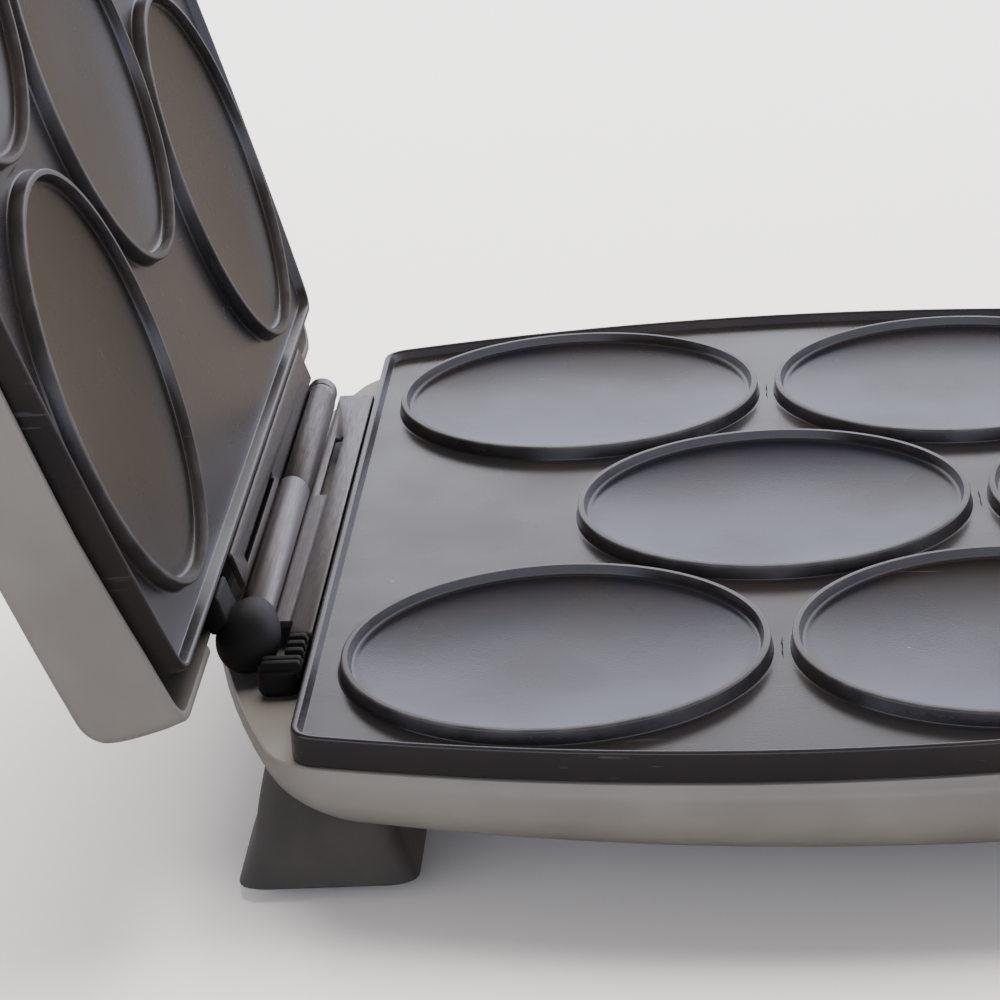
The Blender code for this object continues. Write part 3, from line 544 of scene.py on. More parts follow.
shell_abs = moulded("abs_moulded_silver_grey", "#605d59", "#6a6762", 0.42, 0.45, 0.010)
black_nylon = moulded("nylon_moulded_black", "#0b0b0b", "#131212", 0.6, 0.5, 0.02, 20, 0.2, "#8c8c8c")
rough_polypropylene = moulded("polypropylene_moulded_coarse", "#201e1b", "#35312c", 0.66, 1.3, 0.12, 18, 0.6)
pad_rubber = moulded("nitrile_rubber_moulded", "#18181a", "#2b2a29", 0.8, 0.7, 0.03, 12, 0.3)

# %% [markdown]
# ### Metals
#
# The hinge is mild steel strip, nickel plated after rolling: satin grey, with fine drawing lines
# along its length and a few dull spots. Both leaves are the same plated steel; the lid's leaf takes a
# darker copy of the finish, which is painted shade for the shadow it lies in. The screws are zinc
# plated. The heater rods have an oxidised nickel alloy sheath, and the trays under them are
# aluminised steel, whose dip leaves a spangle of crystals about 5 mm across. A metal keeps the
# shader's own IOR, and gets its look from colour and roughness.

# %% Plated, oxidised and aluminised metals
def plated(name, base, dull, roughness, stretch=(0.04, 1, 1), line=0.35, spot_size=3.0, depth=0.004):
    mat, tree, shader, where = finish(name, base, roughness, 1.0)
    lines = grain(tree, where, line, 3, 0.6, stretch)
    spots = between(tree, grain(tree, where, spot_size, 4, 0.6), 0.58, 0.78, 0.0, 0.5)
    tone = blend(tree, between(tree, lines, 0.3, 0.7, 0.0, 0.6), base, dull)
    tone = blend(tree, spots, tone, dull)
    gloss = between(tree, lines, 0.3, 0.7, roughness - 0.05, roughness + 0.07)
    coat(tree, shader, tone, sum_of(tree, gloss, spots, 0.12))
    bumped(tree, shader, lines, depth)
    return mat


hinge_nickel = plated("steel_rolled_nickel_plated", "#827e7f", "#74706d", 0.42, line=0.25, depth=0.001)
# Darker copy of the nickel finish for the lid's leaf: painted shade, not a different metal.
hinge_painted_shade = plated("steel_rolled_nickel_plated_painted_shade", "#65605c", "#524d49", 0.42, line=0.25, depth=0.001)
screw_zinc = plated("steel_turned_zinc_plated", "#b5b6b3", "#8c8a7d", 0.34, (1, 1, 1), 0.5)
rod_sheath = plated("nickel_alloy_sheath_oxidised", "#4a443f", "#2b2a2d", 0.5, (1, 1, 1), 0.8, 9)
tray_aluminised = plated("steel_pressed_aluminised", "#c3c5c7", "#a9abad", 0.36, (1, 1, 1), 4.5, 5)


# %% [markdown]
# ### Ceramics, board and lenses
#
# Inside there are steatite ceramic bodies for the thermostat, fuse and terminals, and a phenolic
# paper board for the lamps: both are fired or pressed, matt and finely speckled. The two lamp
# lenses are clear dyed polycarbonate, with faint streaks where the melt flowed round the gate.

# %% Fired, pressed and clear materials
def speckled(name, base, speck, roughness, size):
    mat, tree, shader, where = finish(name, base, roughness, IOR=1.55)
    fine = grain(tree, where, size, 3, 0.6)
    coat(tree, shader, blend(tree, between(tree, fine, 0.52, 0.68, 0.0, 1.0), base, speck),
         between(tree, fine, 0.3, 0.7, roughness - 0.06, roughness + 0.06))
    bumped(tree, shader, fine, 0.01)
    return mat


def clear(name, base, streak):
    mat, tree, shader, where = finish(name, base, 0.1, IOR=1.58, Transmission_Weight=0.55)
    flow = grain(tree, where, 2.2, 2, 0.5, (1, 0.3, 1))
    coat(tree, shader, blend(tree, between(tree, flow, 0.4, 0.65, 0.0, 0.7), base, streak),
         between(tree, flow, 0.3, 0.7, 0.07, 0.16))
    return mat


steatite = speckled("steatite_pressed_and_fired", "#dcd5c6", "#c3b9a6", 0.55, 0.5)
phenolic_board = speckled("phenolic_paper_laminate", "#a5804a", "#8d6a3b", 0.5, 0.8)
LENSES = {"power": clear("polycarbonate_moulded_red", "#c22018", "#e2493a"),
          "ready": clear("polycarbonate_moulded_green", "#2f8f3c", "#63b565")}
print(len(bpy.data.materials), "materials")

# %% [markdown]
# ## Geometry Nodes: what repeats
#
# Two small trees do the repeating work. The first is a lathe that also sets its work out: a grid has
# as many columns as the turned shape has sides and as many rows as its profile has points, and each
# grid point is moved to its row's point of the profile, turned by its column's angle. The result is
# put on every point of the modifier's own object. The second tree puts copies of a finished object
# on those points, turned as told. Both end in real geometry with a material.


# %% The lathe tree
def new_tree(name, inputs):
    """A geometry tree with named inputs; returns the tree, its input node and its identifiers."""
    tree = bpy.data.node_groups.new(name, "GeometryNodeTree")
    tree.interface.new_socket("Places", in_out="INPUT", socket_type="NodeSocketGeometry")
    sockets = {}
    for label, kind in inputs.items():
        sockets[label] = tree.interface.new_socket(label, in_out="INPUT", socket_type=kind).identifier
    tree.interface.new_socket("Result", in_out="OUTPUT", socket_type="NodeSocketGeometry")
    return tree, tree.nodes.new("NodeGroupInput"), sockets


def close_tree(tree, given, geometry):
    """Real geometry with the material set, as the tree's result."""
    real = add(tree, "GeometryNodeRealizeInstances", {"Geometry": geometry})
    painted = add(tree, "GeometryNodeSetMaterial",
        {"Geometry": real.outputs[0], "Material": given.outputs["Finish"]})
    add(tree, "NodeGroupOutput", {0: painted.outputs[0]})


def lathe_tree():
    tree, given, sockets = new_tree("turned and set out", {"Profile": "NodeSocketObject",
        "Sides": "NodeSocketInt", "Finish": "NodeSocketMaterial"})
    profile = add(tree, "GeometryNodeObjectInfo", {"Object": given.outputs["Profile"]}).outputs["Geometry"]
    rows = add(tree, "GeometryNodeAttributeDomainSize", {0: profile}, component="MESH").outputs[0]
    columns = add(tree, "ShaderNodeMath", {0: given.outputs["Sides"], 1: 1.0}, operation="ADD").outputs[0]
    grid = add(tree, "GeometryNodeMeshGrid", {"Vertices X": columns, "Vertices Y": rows})
    index = add(tree, "GeometryNodeInputIndex").outputs[0]
    share = add(tree, "ShaderNodeMath", {0: index, 1: rows}, operation="DIVIDE").outputs[0]
    column = add(tree, "ShaderNodeMath", {0: share}, operation="FLOOR").outputs[0]
    row = add(tree, "ShaderNodeMath", {0: index, 1: rows}, operation="MODULO").outputs[0]
    place = add(tree, "GeometryNodeInputPosition").outputs[0]
    point = add(tree, "GeometryNodeSampleIndex", {"Geometry": profile},
        data_type="FLOAT_VECTOR", domain="POINT")
    tree.links.new(place, point.inputs["Value"])
    tree.links.new(row, point.inputs["Index"])
    turn = add(tree, "ShaderNodeMath", {0: column, 1: given.outputs["Sides"]}, operation="DIVIDE").outputs[0]
    angle = add(tree, "ShaderNodeMath", {0: turn, 1: math.tau}, operation="MULTIPLY").outputs[0]
    about = add(tree, "ShaderNodeVectorRotate", {"Vector": point.outputs[0], "Angle": angle},
        rotation_type="Z_AXIS").outputs[0]
    moved = add(tree, "GeometryNodeSetPosition", {"Geometry": grid.outputs[0], "Position": about})
    merged = add(tree, "GeometryNodeMergeByDistance", {"Geometry": moved.outputs[0], "Distance": 0.001})
    copies = add(tree, "GeometryNodeInstanceOnPoints", {"Points": given.outputs["Places"],
        "Instance": merged.outputs[0]})
    close_tree(tree, given, copies.outputs[0])
    return tree, sockets


def copies_tree():
    tree, given, sockets = new_tree("copies set out", {"Copied": "NodeSocketObject",
        "Turn": "NodeSocketRotation", "Finish": "NodeSocketMaterial"})
    copied = add(tree, "GeometryNodeObjectInfo", {"Object": given.outputs["Copied"]}).outputs["Geometry"]
    copies = add(tree, "GeometryNodeInstanceOnPoints", {"Points": given.outputs["Places"], "Instance": copied,
        "Rotation": given.outputs["Turn"]})
    close_tree(tree, given, copies.outputs[0])
    return tree, sockets


LATHE = lathe_tree()
COPIES = copies_tree()


# %% Running a tree on a list of places
def points_object(name, places, joined=False):
    """A mesh of loose points, or of one line through them."""
    mesh = bpy.data.meshes.new(name)
    links = [(i, i + 1) for i in range(len(places) - 1)] if joined else []
    mesh.from_pydata(places, links, [])
    return linked(name, mesh)


def set_out(name, tree_and_sockets, places, helper, **values):
    """Run a tree on the places and keep its result as a plain mesh; the helper object goes."""
    tree, sockets = tree_and_sockets
    obj = points_object(name, places)
    mod = obj.modifiers.new("set out", "NODES")
    mod.node_group = tree
    for label, value in values.items():
        mod[sockets[label]] = value
    baked(obj)
    bpy.data.objects.remove(helper)
    return obj


# %% [markdown]
# ## The cooking plates
#
# Each plate is one aluminium casting: a flat face inside a raised lip, and six round pans, each
# with a ring standing 3 mm proud and a shallow dished floor. The dish gives the floors their look:
# the half that leans away mirrors the bright low light, the other half the dark above. Booleans
# would leave ragged shading on a glossy face, so the lathe tree turns all twelve skins, above and
# below, on the six places; then one flat face is filled between the lip and the pans' outer circles.

# %% Profiles of the casting
def pan_profile():
    """Section of a pan from the plate's face over the ring and down to the middle of its floor."""
    wall = [(PAN_RADIUS + 2.2, PLATE_FACE), (PAN_RADIUS + 1.4, PLATE_FACE),
            (PAN_RADIUS + 0.4, PLATE_FACE, 0.6), (PAN_RADIUS, RING_TOP, 0.5),
            (PAN_RADIUS - 1.2, RING_TOP, 0.5)]
    dish = [(r, PAN_FLOOR + 2.1 * (r / 37.6) ** 2.6) for r in (36.6, 35.6, *range(34, 0, -2))]
    side = [(PAN_RADIUS - 1.2, RING_TOP), (PAN_RADIUS - 1.75, -2.45, 1.1), dish[0]]
    return filleted(wall, steps=6)[:-1] + filleted(side, steps=8) + dish[1:] + [(0.0, PAN_FLOOR)]


def underside_profile():
    return [(38.5, PLATE_BACK), (37.0, PLATE_BACK - 1.6), (0.0, PLATE_BACK - 1.6)]


BOSS_PROFILE = [(4.0, PLATE_BACK), (4.0, PLATE_BACK - 4), (1.55, PLATE_BACK - 4), (1.55, -4.4),
        (0, -4.4)]


def turned_skins(bm, profile, places, sides):
    """Skins turned from a (radius, height) profile at each (x, y) place, added to the bmesh."""
    line = points_object("profile", [(radius, 0, height) for radius, height in profile], True)
    skins = set_out("skins", LATHE, [(x, y, 0) for x, y in places], line, Profile=line, Sides=sides,
        Finish=plate_coating)
    bm.from_mesh(skins.data)
    bpy.data.objects.remove(skins)


def fill_level(bm, height):
    """Fill the flat region between all open edges at a height."""
    edges = [e for e in bm.edges if e.is_boundary and all(abs(v.co.z - height) < 1e-3 for v in e.verts)]
    bmesh.ops.triangle_fill(bm, use_beauty=True, use_dissolve=False, edges=edges)


# %% The two castings
def cooking_plate(name, body, flip):
    bm = bmesh.new()
    section = filleted([(-3.2, PLATE_FACE), (-2.4, PLATE_FACE), (-2.0, PLATE_FACE, 0.4), (-1.2, LIP_TOP, 0.6),
        (0, LIP_TOP, 0.6), (0, PLATE_SKIRT, 0.3), (-2.0, PLATE_SKIRT),
        (-2.0, PLATE_BACK)], steps=5)
    rim = stack(bm, [(offset(PLATE, inset), height) for inset, height in section])
    skin(bm, rim, caps=False)
    turned_skins(bm, pan_profile(), PANS, 96)
    turned_skins(bm, underside_profile(), PANS, 24)
    turned_skins(bm, BOSS_PROFILE, SCREW_PLACES, 16)
    bmesh.ops.remove_doubles(bm, verts=bm.verts, dist=1e-4)
    fill_level(bm, PLATE_FACE)
    fill_level(bm, PLATE_BACK)
    wear = bm.verts.layers.float.new("wear")
    for v in bm.verts:
        v[wear] = max(0.0, min(1.0, (v.co.z + 1.5) / 1.1)) ** 2
    for face in bm.faces:
        centre = face.calc_center_median()
        reach = min(math.hypot(centre.x - x, centre.y - y) for x, y in PANS)
        face.material_index = int(reach < PAN_RADIUS - 2 and centre.z > PAN_FLOOR - 0.5)
    if flip:
        bmesh.ops.scale(bm, vec=(1, 1, -1), verts=bm.verts)
    open_edges = sum(e.is_boundary for e in bm.edges)
    plate = solid(name, bm)
    print(name, "open edges:", open_edges)
    indices = [p.material_index for p in plate.data.polygons]
    # The pan floors take the copy whose tint is painted reflection colour.
    looks = (plate_coating, lid_pans_painted_brown_reflection if flip else base_pans_painted_blue_reflection)
    settle(plate, body, looks, [f"{body}_cooking_plate"])
    plate.data.polygons.foreach_set("material_index", indices)
    return plate


for body_name, upside_down in (("base", False), ("lid", True)):
    cooking_plate(f"{body_name}_plate_casting", body_name, upside_down)

# %% [markdown]
# ## The shells
#
# Both shells are injection moulded dishes with walls about 2 mm thick. A mould maker would draw a
# few plan outlines at different heights and pass a smooth skin through them, and so does this. The
# curve is eased so that it never swings outside the outlines, which keeps the shell inside its real
# size. The base has a flat deck behind the plate; the lid is domed and wraps the plate's rim.
# Openings are cut afterwards, as slides in the mould would form them.

# %% Base shell
def base_outline(height):
    """The rear corners draw in as the wall goes down."""
    depth = (SHELL_TOP - height) / 16.4
    return body_outline(108 - 7.4 * depth ** 1.3, 91 - 5.8 * depth ** 0.9, 21.5, 7, 7)


def base_levels(grow=0.0):
    walls = [(-4, -23.6), (0, -19.5), (2, -14.5), (2, -10.5), (0.8, SHELL_TOP - 0.9)]
    return [(scaled(offset(base_outline(SHELL_FLOOR), grow), 0.86), SHELL_FLOOR - grow),
            (scaled(offset(base_outline(-26.2), grow), 0.925), -26.2),
            *((offset(base_outline(z), out + grow), z) for out, z in walls)]


def base_shell():
    bm = bmesh.new()
    rings = eased(bm, base_levels(), 5)
    ledge = offset(PLATE, -2.6)
    edge = [(0.55, -7.5), (0.1, SHELL_TOP - 0.02), (-0.4, SHELL_TOP)]
    rings += stack(bm, [(offset(base_outline(height), shift), height) for shift, height in edge])
    rings += stack(bm, [(ledge, SHELL_TOP), (ledge, -9.4), (offset(base_outline(-9.6), -1.6), -9.6)])
    inner = [(offset(base_outline(z), out), z) for out, z in ((-0.2, -14.5), (-2.3, -19))]
    inner += [(scaled(base_outline(z), part), z) for part, z in ((0.945, -22.4), (0.84, SHELL_FLOOR + 2.2))]
    rings += eased(bm, inner, 2)
    skin(bm, rings)
    shell = solid("base_shell_moulding", bm)
    boss = bmesh.new()
    lathe(boss, filleted([(4.4, -7.5), (7.1, -7.5), (7.1, 0, 0.8), (4.4, 0)]), GLAND, "Y", 48)
    cut(shell, boss, operation="UNION")
    holes = bmesh.new()
    for x, y in SCREW_PLACES:
        lathe(holes, [(0, -30), (3.3, -30), (3.3, SCREW_LEDGE), (1.7, SCREW_LEDGE), (1.7, -8), (0, -8)],
        (x, y, 0), "Z", 32)
    lathe(holes, [(0, -15), (5.3, -15), (5.3, 10), (0, 10)], GLAND, "Y", 40)
    cut(shell, holes)
    return settle(shell, "base", [shell_abs], ["base_shell"])


base_shell()


# %% Lid shell
def lid_edge(y):
    """Height of the edge, which comes nearer the parting plane beside the hinge."""
    rise = min(1.0, max(0.0, (85 - y) / 30))
    return LID_EDGE_REAR + (LID_EDGE - LID_EDGE_REAR) * rise


def lid_levels(grow=0.0):
    crown = [(0.2, 30.45), (0.25, 30.4), (0.6, 29.0), (0.9, 26.4)]
    walls = [(-4, 24.6), (-0.6, 23.2), (1.6, 20.5), (2.4, 16), (2.6, 10), (2.45, 7.2)]
    return [(scaled(offset(LID, grow), part), z + grow) for part, z in crown] + \
           [(offset(LID, out + grow), z) for out, z in walls]


def lid_shell():
    bm = bmesh.new()
    rings = eased(bm, lid_levels(), 5)
    edge = [(2.3, 0.5), (2.05, 0.12), (1.6, 0), (0.9, 0), (0.5, 0.12), (0.4, 0.5)]
    for shift, rise in edge:
        rings.append(ring(bm, offset(LID, shift), lambda x, y, rise=rise: lid_edge(y) + rise))
    inner = [(offset(LID, out), z) for out, z in ((0.4, 10), (0.2, 15.6), (-0.8, 19.6), (-2.8, 21.4))]
    inner += [(scaled(LID, part), z) for part, z in ((0.955, 22.4), (0.895, 24), (0.59, 26.7), (0.25, 28.1))]
    rings += eased(bm, inner, 2)
    skin(bm, rings)
    shell = solid("lid_shell_moulding", bm)
    holes = bmesh.new()
    for x, y in LAMPS.values():
        lathe(holes, [(0, 19), (4.3, 19), (4.3, 34), (0, 34)], (x, y, 0), "Z", 32)
    room = bmesh.new()
    lathe(room, [(0, -76), (7.3, -76), (7.3, -52), (0, -52)], (0, HINGE_Y, 0), "X", 48)
    notch = bmesh.new()
    box(notch, (-74, 88.4, 0), (-54, 97.5, 5.9))
    cut(shell, holes, room, notch, solver="MANIFOLD")
    return settle(shell, "lid", [shell_abs], ["lid_shell"])


lid_shell()

# %% [markdown]
# ## Handles and latch
#
# Two black grips meet at the front when the lid is shut, and a spring latch on the upper one hooks
# under the lower. A grip is a plan outline stacked up with rounded edges, fitted to the shell by
# cutting the shell's own solid from its back. The latch is one bent section, extruded across.


# %% The two grips
def rounded_stack(plan, bottom, top, low_round, high_round, steps=6):
    """Levels of a plan from bottom to top with round edges."""
    turns = [math.pi / 2 * i / steps for i in range(steps + 1)]
    low = [(-low_round * (1 - math.sin(a)), bottom + low_round * (1 - math.cos(a))) for a in turns]
    high = [(-high_round * (1 - math.cos(a)), top - high_round * (1 - math.sin(a))) for a in turns]
    return [(offset(plan, shift), height) for shift, height in low + high]


def grip(body, flip, shell_levels):
    corners = [(-38, -168), (38, -168), (43, -118), (-43, -118)]
    plan = offset(outline(corners, (4, -3, 0, -3), (14, 14, 7, 7), 14, 8), -0.1)
    bm = skinned(rounded_stack(plan, -19.2, -4.2, 4.0, 2.8))
    if flip:
        bmesh.ops.scale(bm, vec=(1, 1, -1), verts=bm.verts)
    handle = solid(f"{body}_grip", bm)
    room = offset(PLATE, 0.4)
    levels = list(shell_levels)
    if flip:
        levels += [(offset(LID, 2.6), LID_EDGE - 0.3), (room, LID_EDGE - 0.7), (room, 0)]
    else:
        levels += [(room, SHELL_TOP + 0.3), (room, 2)]
    half = LATCH_HALF + 0.5
    notch = bmesh.new()
    if flip:
        box(notch, (-half, -180, 0), (half, -162.6, 30))
    else:
        box(notch, (-half, -180, -30), (half, -170.2, 0))
    cut(handle, skinned(levels), notch)
    softened(handle, 0.35, 2, 50)
    return settle(handle, body, [black_nylon], [f"{body}_handle"])


grip("base", False, base_levels(FIT_GAP))
grip("lid", True, lid_levels(FIT_GAP))


# %% The latch
def latch():
    eye = 3.6
    section = arc((0, 0), eye, -60, 180, 24)
    section += filleted([(-5.7, -3, 1.2), (-5.7, -31, 2), (-8.4, -35, 0.8), (-7.6, -36.4, 0.6),
        (-4.4, -33.8, 1), (1.2, -33.8, 0.5), (2.0, -31.7, 0.5), (-2.9, -31.7, 0.4),
        (-3.1, -6, 1.5)], True)
    bm = bmesh.new()
    prism(bm, section, -LATCH_HALF, LATCH_HALF)
    clip = softened(solid("latch_clip", bm), 0.5, 3, 50)
    return settle(clip, "latch", [black_nylon], ["handle_latch"])


latch()

# %% [markdown]
# ## The hinge
#
# Two leaves are pressed from strip a little over 1 mm thick. Each has a flange screwed to the back
# of its plate, a level strip, and one knuckle rolled round the pin: the base's knuckle is the long
# one on the left, the lid's takes the rest. Long slots by the knuckles let the press bend the strip.
# Each roll, bend and strip has one section along the hinge, so it is extruded; the slots are cut,
# and every edge is broken slightly, as tumbling leaves it.


# %% Leaves with their rolled knuckles
def hinge_leaf(body, flip, ends, knuckle, windows):
    high = LIP_TOP
    low = high - LEAF - 0.2
    wall = PLATE_REAR + 0.3
    bend = [(wall, PLATE_SKIRT), (wall + LEAF, PLATE_SKIRT), (wall + LEAF, low, 0.5),
            (STRIP_END, low), (STRIP_END, high), (wall, high, 0.9)]
    bm = bmesh.new()
    prism(bm, filleted(bend, True), *ends)
    leaf = solid(f"{body}_leaf", bm)
    section = arc((HINGE_Y, 0), BARREL_RADIUS, 222, 550, 66) + arc((HINGE_Y, 0), BORE_RADIUS, 550, 222, 52)
    roll = bmesh.new()
    prism(roll, section, *knuckle)
    tongue = bmesh.new()
    box(tongue, (knuckle[0], 94, low), (knuckle[1], 98.2, high))
    cut(leaf, tongue, roll, operation="UNION")
    slots = bmesh.new()
    for start, end, front, back in windows:
        corners = [(start, front), (end, front), (end, back), (start, back)]
        plan = outline(corners, (0, 0, 0, 0), [0.7] * 4, 1, 4)
        skin(slots, stack(slots, [(plan, -8), (plan, 0)]))
    cut(leaf, slots)
    if flip:
        leaf.data.transform(Matrix.Diagonal((1, 1, -1, 1)))
        leaf.data.flip_normals()
    softened(leaf, 0.16, 2, 45)
    # The lid's leaf gets the darker copy, which is painted shade.
    look = hinge_painted_shade if flip else hinge_nickel
    return settle(leaf, body, [look], [f"{body}_hinge_leaf"], 25)


for body_name, upside_down, ends, knuckle, windows in (
        ("base", False, (-61, 78), (-55.4, KNUCKLE_SPLIT - 0.15),
         [(13.5, 50, 93.1, 94.9), (-64, -55.5, 93.1, 99)]),
        ("lid", True, (-48, 78), (KNUCKLE_SPLIT + 0.15, 70), [(-40, 8, 93.1, 94.9)])):
    hinge_leaf(body_name, upside_down, ends, knuckle, windows)


# %% Turned pieces on the pin, and the cap that carries the wires
def turned_piece(name, corners, centre, axis, body, look, node, sides=48, extra=None):
    bm = bmesh.new()
    lathe(bm, filleted(corners, steps=5), centre, axis, sides)
    obj = solid(name, bm)
    if extra:
        cut(obj, extra, operation="UNION")
    return settle(obj, body, [look], [node])


turned_piece("end_collar",
             [(BORE_RADIUS, 70.3), (3.4, 70.3, 0.3), (3.4, 73.4, 0.15), (3.2, 73.6), (3.2, 73.9),
        (3.4, 74.1, 0.15), (3.4, 78.5, 1.3), (0, 78.5), (0, 75.4), (BORE_RADIUS, 75.4)],
             (0, HINGE_Y, 0), "X", "base", hinge_nickel, "hinge_end_collar")
cap_arm = bmesh.new()
box(cap_arm, (-70, 89.4, 1.4), (-58, 96.6, 5.4))
cap_side = [(4.3 + 1.8 * math.sin(math.pi / 2 * i / 12), -55.8 - 10.2 * i / 12) for i in range(13)]
cap_dome = [(6.1 * (1 - (i / 16) ** 2.4) ** 0.5, -66 - 8.9 * i / 16) for i in range(1, 16)]
cap_bore = [(0, -74.9), (0, -64.4), (BORE_RADIUS, -64.4)]
turned_piece("end_cap", [(BORE_RADIUS, -55.8)] + cap_side + cap_dome + cap_bore,
             (0, HINGE_Y, 0), "X", "lid", black_nylon, "hinge_end_cap", 64,
             softened(solid("arm", cap_arm), 0.8, 3))

# %% [markdown]
# The wire guide beside the cap is a small block with ribs that comb the lid's wires. The ribs are
# copies of one rounded bar, set out by the second tree; the long and the short ones are two sets.


# %% The ribbed wire guide
def rib(length):
    bm = bmesh.new()
    section = filleted([(0, -3), (length, -3), (length, 0.2, 0.7), (0, 0.2, 0.7)], True)
    prism(bm, section, -0.8, 0.8)
    return softened(solid("rib", bm), 0.45, 3, 50)


def wire_guide():
    plan = filleted([(-80.3, 89.2, 3.5), (-62.5, 89.2), (-62.5, 92.9), (-75.4, 92.9), (-75.4, 97.6, 1),
        (-80.3, 97.6, 4)], True, 6)
    guide = solid("wire_guide", skinned(rounded_stack(plan, -6.9, -1.4, 2.2, 0.6)))
    for length, xs in ((7.4, (-78.6, -76.4)), (3.5, (-72.6, -69.2, -65.8))):
        bar = rib(length)
        ribs = set_out("ribs", COPIES, [(x, 89.3, 0) for x in xs], bar, Copied=bar, Finish=black_nylon)
        cut(guide, ribs, operation="UNION")
    return settle(guide, "base", [black_nylon], ["hinge_wire_guide"])


wire_guide()

# %% [markdown]
# ## Screws
#
# Pan-head screws with a cross recess hold the plates and the hinge. The head is turned, with a
# plus-shaped pocket let into its top, and one drawn screw is set out on every place, turned to face
# the way it is driven. The lid's plate screws are out of sight inside and stay as the CAD has them.


# %% One screw, set out where the assembly has them
def screw(head_radius, head_height, shank_radius, shank_length):
    """A screw along Z with its head's top at the origin and its shank running down."""
    bm = bmesh.new()
    arm = 0.22 * head_radius
    reach = 0.62 * head_radius
    quarter = [(reach, -arm), (reach, arm), (arm, arm), (arm, reach), (-arm, reach), (-arm, arm),
        (-reach, arm), (-reach, -arm), (-arm, -arm), (-arm, -reach), (arm, -reach), (arm, -arm)]
    rounds = [(0.78 * head_radius, 0), (head_radius, -0.45 * head_height), (head_radius, -head_height),
        (shank_radius, -head_height), (0.8 * shank_radius, -head_height - shank_length)]
    rings = stack(bm, [(arc((0, 0), radius, 0, 345, 23), height) for radius, height in rounds])
    mouth = ring(bm, quarter, 0)
    pit = ring(bm, [(0.75 * x, 0.75 * y) for x, y in quarter], -0.6 * head_height)
    fill(bm, rings[0], mouth)
    bridge(bm, mouth, pit)
    fill(bm, pit)
    skin(bm, rings, caps=False)
    fill(bm, rings[-1])
    return solid("screw", bm)


def screws(name, body, places, turn, nodes, sizes):
    drawn = screw(*sizes)
    obj = set_out(name, COPIES, places, drawn, Copied=drawn, Turn=turn, Finish=screw_zinc)
    return settle(obj, body, [screw_zinc], nodes)


screws("base_plate_screws", "base", [(x, y, SCREW_HEADS) for x, y in SCREW_PLACES], (math.pi, 0, 0),
       [f"base_plate_screw_{i}" for i in range(1, 5)], (2.9, 1.9, 1.25, 12.5))
for body_name, height in (("base", -5.2), ("lid", 5.2)):
    screws(f"{body_name}_hinge_screws", body_name,
           [(x, 91.2, height) for x in LEAF_SCREWS[body_name]],
           (-math.pi / 2, 0, 0), [f"{body_name}_hinge_screw_{i}" for i in range(1, 4)], (1.5, 1.0, 0.75, 3.0))

# %% [markdown]
# ## Feet
#
# Four flared feet lift the hot base off the table, each with a rubber pad. One foot and one pad are
# drawn and set out on four places; then the shell's own solid is cut from the feet, so that their
# tops follow the rounded floor.


# %% Feet and pads
def rounded_plan(width, depth, radius=5.0):
    signs = ((-1, -1), (1, -1), (1, 1), (-1, 1))
    corners = [(x * width / 2, y * depth / 2) for x, y in signs]
    return outline(corners, (0, 0, 0, 0), [radius] * 4, 4, 6)


def feet():
    places = [(x, y, 0) for x, y in FEET.values()]
    bm = bmesh.new()
    rings = stack(bm, [(rounded_plan(32.6, 32.6), -39.9)])
    flare = [(34, 34, -39.4), (33, 32.6, -37.6), (28.4, 27.4, -31), (26.3, 25, -25), (23, 20, -15)]
    rings += eased(bm, [(rounded_plan(width, depth), z) for width, depth, z in flare], 4)
    skin(bm, rings)
    one = solid("foot", bm)
    four_feet = set_out("feet", COPIES, places, one, Copied=one, Finish=rough_polypropylene)
    cut(four_feet, skinned(base_levels(FIT_GAP)))
    settle(four_feet, "base", [rough_polypropylene], [f"foot_{place}" for place in FEET])
    levels = [(20.6, 18.6, -42.2), (22, 20, -41.6), (24, 22, -40.6), (24, 22, -40.2)]
    one = solid("pad", skinned([(rounded_plan(width, depth), z) for width, depth, z in levels]))
    pads = set_out("foot_pads", COPIES, places, one, Copied=one, Finish=pad_rubber)
    return settle(pads, "base", [pad_rubber], [f"foot_pad_{place}" for place in FEET])


feet()

# %% [markdown]
# ## Gland and lamps
#
# The cord's inlet is a flanged bush in the back wall, and two dyed lenses on the lid show power and
# ready. All of them are turned shapes with soft edges.

# %% Gland and lenses
turned_piece("inlet_gland", [(3.3, -9), (4.5, -9, 0.3), (4.9, -8), (4.9, 0.3), (6.4, 0.3, 0.3),
        (6.3, 1.2, 0.5), (5.4, 3.2, 0.9), (3.3, 3.2, 0.6)],
             GLAND, "Y", "base", black_nylon, "cord_inlet_gland")
for lamp, (lamp_x, lamp_y) in LAMPS.items():
    turned_piece(f"{lamp}_lens", [(0, 21.9), (3.9, 21.9, 0.2), (3.9, 27.9, 1.2), (2.2, 28.9, 2), (0, 29)],
        (lamp_x, lamp_y, 0), "Z", "lid",
        LENSES[lamp], f"{lamp}_lamp_lens", 40)

# %% [markdown]
# ## What stays as the CAD has it
#
# The pieces inside the shells, the pin and the latch pin have their right shapes already. They only
# get their real finish, by name.

# %% Finishes for the nodes that stay
INSIDE = {"heating_element": rod_sheath, "heat_reflector": tray_aluminised, "thermostat": steatite,
          "thermal_fuse": steatite, "terminal_block": steatite, "lamp_board": phenolic_board,
          "lid_plate_screw": screw_zinc, "hinge_pin": hinge_nickel, "latch_pin": screw_zinc}
kept = 0
for node_name, node_object in frame["nodes"].items():
    if node_object.hide_render:
        continue
    for part, look in INSIDE.items():
        if part in node_name:
            node_object.data.materials.clear()
            node_object.data.materials.append(look)
            kept += 1
print(kept, "CAD nodes keep their shape")

# %% [markdown]
# ## Floor, light and camera
#
# A product table: a pale floor that runs out of sight, soft overhead light, and a bright band all
# round, from just above the horizon to about 25 degrees up, which the glossy coating mirrors. Higher
# up it is dim and warm, so the coating stays dark where it looks up. The floor is kept out of
# reflections, so that the metal and the coating show the band and not the table.

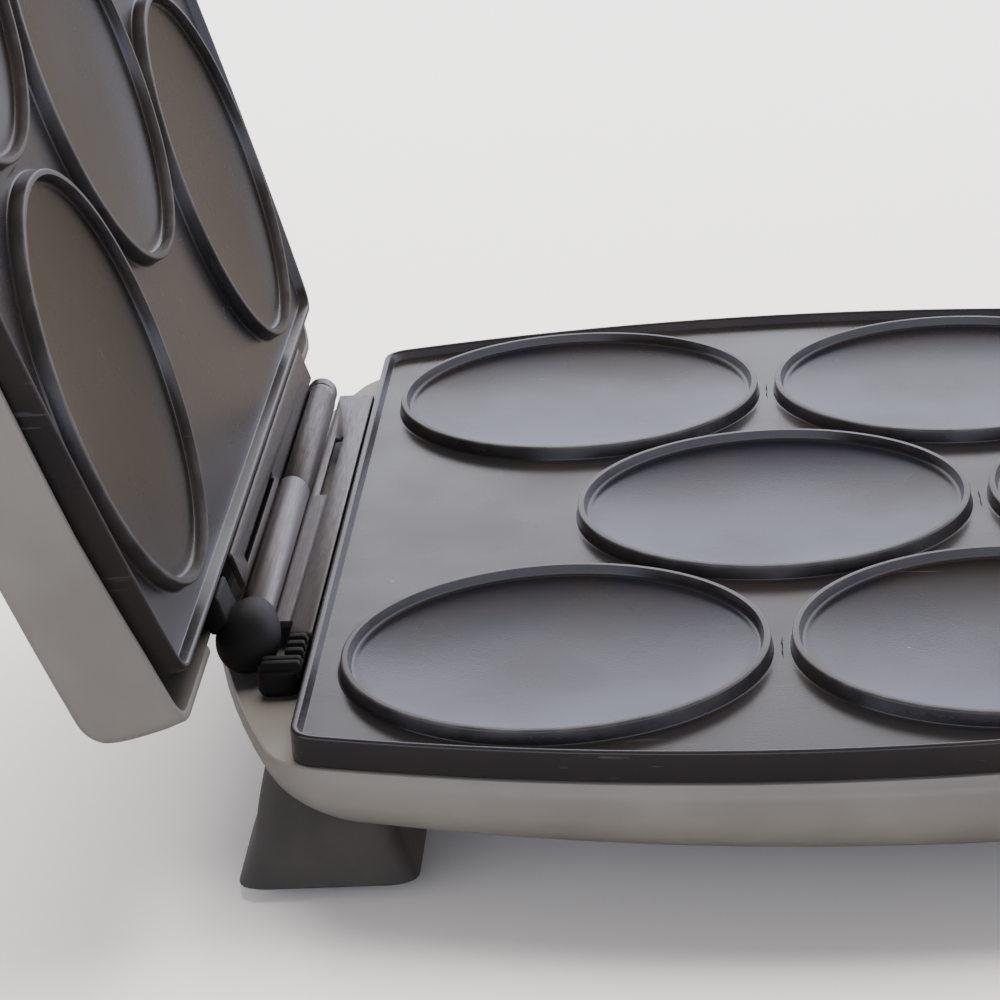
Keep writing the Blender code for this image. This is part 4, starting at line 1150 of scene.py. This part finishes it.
# %% Floor
bm = bmesh.new()
bmesh.ops.create_grid(bm, x_segments=8, y_segments=8, size=6.0)
floor = solid("table_floor", bm, recalc=False)
floor_mat, floor_tree, floor_shader, floor_where = finish("paper_backdrop_matt", "#fbfaf8", 0.8)
paper = grain(floor_tree, floor_where, 3.0, 3)
floor_tree.links.new(blend(floor_tree, paper, "#f9f8f6", "#fdfcfa"), floor_shader.inputs["Base Color"])
floor.data.materials.append(floor_mat)
floor.visible_glossy = False

# %% Surroundings: a band of light by height
world = bpy.data.worlds.new("studio")
bpy.context.scene.world = world
world.use_nodes = True
sky = world.node_tree
direction = add(sky, "ShaderNodeTexCoord").outputs["Generated"]
height = add(sky, "ShaderNodeSeparateXYZ", {0: direction}).outputs["Z"]
share = add(sky, "ShaderNodeMapRange", {"Value": height, "From Min": -1.0, "From Max": 1.0}).outputs[0]
ramp = add(sky, "ShaderNodeValToRGB", {"Fac": share})
BAND = [(-90, "#241f1b"), (-34, "#3a332d"), (-14, "#6c6259"), (-3, "#6e655c"), (3, "#c6cadf"),
        (15, "#cccfe0"), (20.5, "#ffffff"), (25, "#bdbbc2"), (31, "#6a625c"), (45, "#453d37"), (90, "#4a423c")]
stops = ramp.color_ramp.elements
while len(stops) < len(BAND):
    stops.new(0.5)
for stop, (degrees, code) in zip(stops, BAND):
    stop.position = (math.sin(math.radians(degrees)) + 1) / 2
    stop.color = colour(code)
background = sky.nodes["Background"]
sky.links.new(ramp.outputs["Color"], background.inputs["Color"])
background.inputs["Strength"].default_value = 3.3


# %% Softboxes, which light the table but don't show in the gloss
def softbox(name, place, aim, size, power, tint):
    light = bpy.data.lights.new(name, "AREA")
    light.shape = "SQUARE"
    light.size = size
    light.energy = power
    light.color = colour(tint)[:3]
    obj = linked(name, light)
    obj.location = place
    obj.rotation_euler = (Vector(aim) - Vector(place)).to_track_quat("-Z", "Y").to_euler()
    obj.visible_glossy = False


softbox("overhead", (0.4, 0.1, 1.6), (0, 0, 0), 1.6, 74, "#fffaf4")
softbox("behind", (1.6, -0.2, 1.0), (0.1, 0, 0.05), 1.2, 34, "#f4f6ff")

# %% Camera
PITCH, TURN, ROLL = (math.radians(degrees) for degrees in (20.405, 4.297, -3.968))
camera = linked("camera", bpy.data.cameras.new("camera"))
camera.data.sensor_width = 36.0
camera.data.lens = 127.2
camera.data.clip_start = 0.02
camera.location = (-0.6788, -0.0088, 0.2964)
forward = Vector((math.cos(PITCH) * math.cos(TURN), math.cos(PITCH) * math.sin(TURN), -math.sin(PITCH)))
look = forward.to_track_quat("-Z", "Y").to_matrix() @ Matrix.Rotation(ROLL, 3, "Z")
camera.rotation_euler = look.to_euler()
bpy.context.scene.camera = camera
